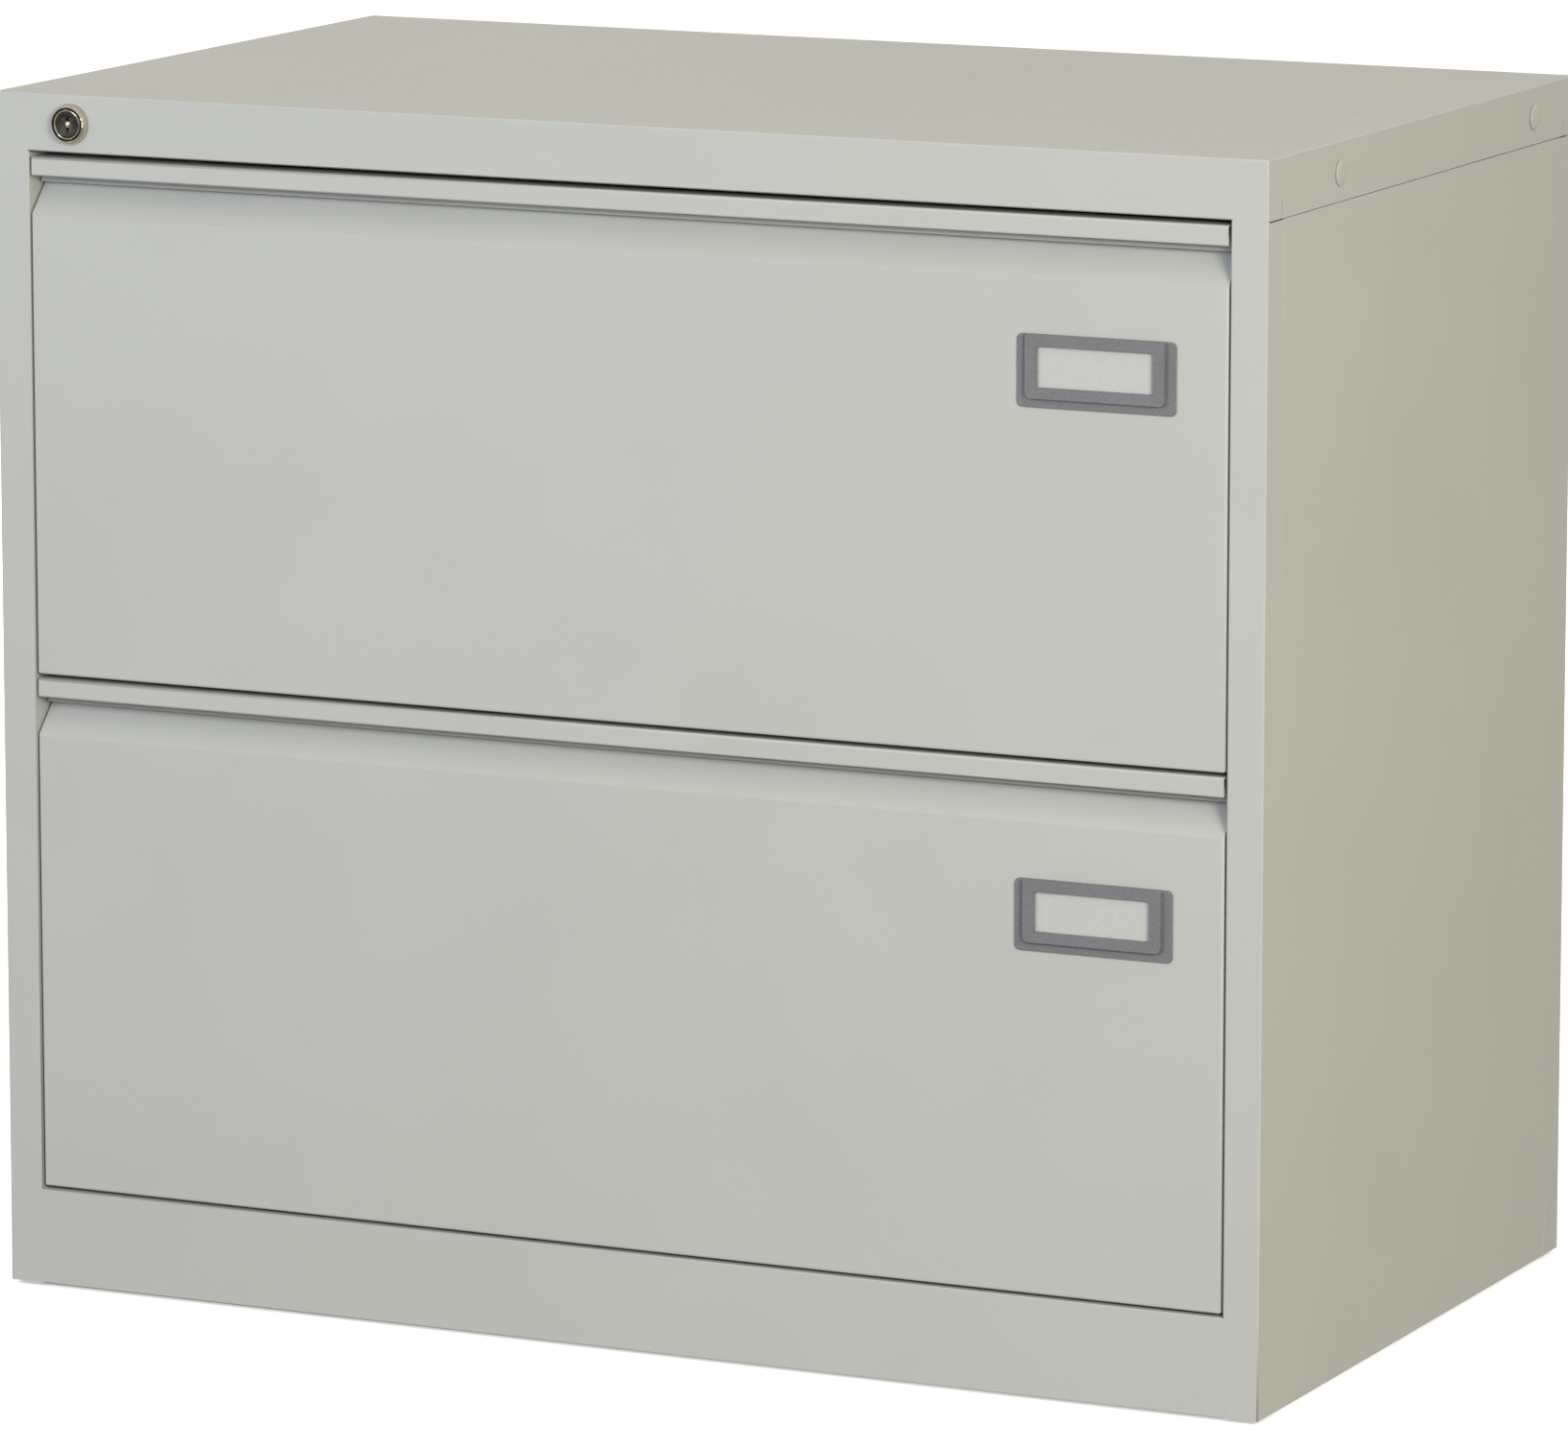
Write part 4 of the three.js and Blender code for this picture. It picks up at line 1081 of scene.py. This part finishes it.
def sky(world):
    """A soft studio surround: bright overhead, darker below."""
    world.use_nodes = True
    tree = world.node_tree
    tree.nodes.clear()
    kinds = ("TexCoord", "SeparateXYZ", "MapRange", "ValToRGB", "Background", "OutputWorld")
    place, parts, shift, ramp, background, output = (tree.nodes.new(f"ShaderNode{kind}") for kind in kinds)
    shift.inputs["From Min"].default_value = -1.0
    tree.links.new(place.outputs["Generated"], parts.inputs[0])
    tree.links.new(parts.outputs["Z"], shift.inputs["Value"])
    tree.links.new(shift.outputs["Result"], ramp.inputs["Fac"])
    tree.links.new(ramp.outputs["Color"], background.inputs["Color"])
    tree.links.new(background.outputs["Background"], output.inputs["Surface"])
    ground, horizon, zenith = (0.33, 0.31, 0.27, 1), (0.8, 0.77, 0.7, 1), (0.68, 0.66, 0.6, 1)
    stops = ramp.color_ramp.elements
    stops[0].color, stops[1].color = ground, zenith
    stops.new(0.49).color = ground
    stops.new(0.5).color = horizon


def panel_light(name, position, width, height, power, tint, glints=False, target=(0, 0, TOP / 2)):
    """A soft lamp turned to a target. Only a lamp that glints shows in polished metal."""
    data = bpy.data.lights.new(name, "AREA")
    data.shape = "RECTANGLE"
    data.size, data.size_y = width, height
    data.energy = power
    data.color = tint
    lamp = bpy.data.objects.new(name, data)
    lamp.location = position
    away = Vector(position) - Vector(target)
    lamp.rotation_euler = away.to_track_quat("Z", "Y").to_euler()
    lamp.visible_glossy = glints
    lamp.visible_camera = False
    bpy.context.scene.collection.objects.link(lamp)


class CABINET_OT_stage(bpy.types.Operator):
    """Adds the floor, the studio light and the camera"""

    bl_idname = "cabinet.stage"
    bl_label = "Stage"

    def execute(self, context):
        scene = context.scene
        bm = bmesh.new()
        bmesh.ops.create_grid(bm, x_segments=8, y_segments=8, size=400.0)
        mesh = bpy.data.meshes.new("floor")
        bm.to_mesh(mesh)
        bm.free()
        floor = bpy.data.objects.new("floor", mesh)
        make = NodeMaker("studio_floor")
        base = colours().floor
        make.link(make.shades(make.noise(0.8), base, tinted(base, 0.99)), "Base Color")
        make.set(Roughness=0.9, Specular_IOR_Level=0.0)
        make.set(Emission_Color=(1, 1, 1, 1), Emission_Strength=0.45)
        mesh.materials.append(make.material)
        scene.collection.objects.link(floor)
        floor.visible_diffuse = False
        floor.visible_glossy = False
        scene.world = bpy.data.worlds.new("studio")
        sky(scene.world)
        panel_light("key_panel", (2.6, -2.5, 1.4), 0.9, 0.9, 74, (1, 0.985, 0.9))
        panel_light("rear_panel", (-1.8, 2.6, 1.6), 1.2, 1.2, 32, (1, 0.99, 0.95))
        panel_light("strip_lamp", (2.6, -1.5, 0.4), 0.3, 1.2, 5, (1, 0.98, 0.94), True)
        panel_light("right_lamp", (2.3, -1.6, 1.9), 0.45, 0.45, 4, (1, 0.98, 0.9), True)
        panel_light("left_lamp", (-1.5, -2.3, 0.55), 0.5, 0.5, 3, (0.9, 0.95, 1), True)
        panel_light("upper_lamp", (-0.6, -2.0, 1.4), 0.45, 0.45, 3, (0.88, 0.94, 1), True)
        panel_light("front_panel", (-0.7, -2.3, 1.1), 1.2, 0.8, 17, (0.53, 0.65, 1), target=(0, FRONT, 0.45))
        scene.view_settings.view_transform = "Standard"
        scene.view_settings.look = "None"
        self.camera(scene)
        return {"FINISHED"}

    def camera(self, scene):
        data = bpy.data.cameras.new("camera")
        data.sensor_width = 36.0
        data.lens = 219.3
        data.clip_end = 2000.0
        view = bpy.data.objects.new("camera", data)
        view.location = (2.38, -5.03, 1.327)
        turn, drop = math.radians(25.35), math.radians(10.155)
        view.rotation_euler = (QUARTER - drop, 0, turn)
        scene.collection.objects.link(view)
        scene.camera = view


STEPS = (
    CABINET_OT_case,
    CABINET_OT_back,
    CABINET_OT_hole_plugs,
    CABINET_OT_drawer_fronts,
    CABINET_OT_label_holders,
    CABINET_OT_trays,
    CABINET_OT_runners,
    CABINET_OT_lock,
    CABINET_OT_feet,
    CABINET_OT_fittings,
    CABINET_OT_carried,
    CABINET_OT_stage,
)


class CABINET_PT_panel(bpy.types.Panel):
    bl_idname = "CABINET_PT_panel"
    bl_label = "Side Filing Cabinet"
    bl_space_type = "VIEW_3D"
    bl_region_type = "UI"
    bl_category = "Cabinet"

    def draw(self, context):
        layout = self.layout
        for step in STEPS:
            layout.operator(step.bl_idname)
        for group in (context.scene.cabinet_sizes, context.scene.cabinet_colours):
            box = layout.box()
            for name in group.__annotations__:
                box.prop(group, name)


CLASSES = (CabinetSizes, CabinetColours, *STEPS, CABINET_PT_panel)


def register():
    for cls in CLASSES:
        bpy.utils.register_class(cls)
    bpy.types.Scene.cabinet_sizes = PointerProperty(type=CabinetSizes)
    bpy.types.Scene.cabinet_colours = PointerProperty(type=CabinetColours)


def unregister():
    del bpy.types.Scene.cabinet_colours
    del bpy.types.Scene.cabinet_sizes
    for cls in reversed(CLASSES):
        bpy.utils.unregister_class(cls)


def main():
    register()
    for step in STEPS:
        group, name = step.bl_idname.split(".")
        getattr(getattr(bpy.ops, group), name)()


if __name__ == "__main__":
    main()
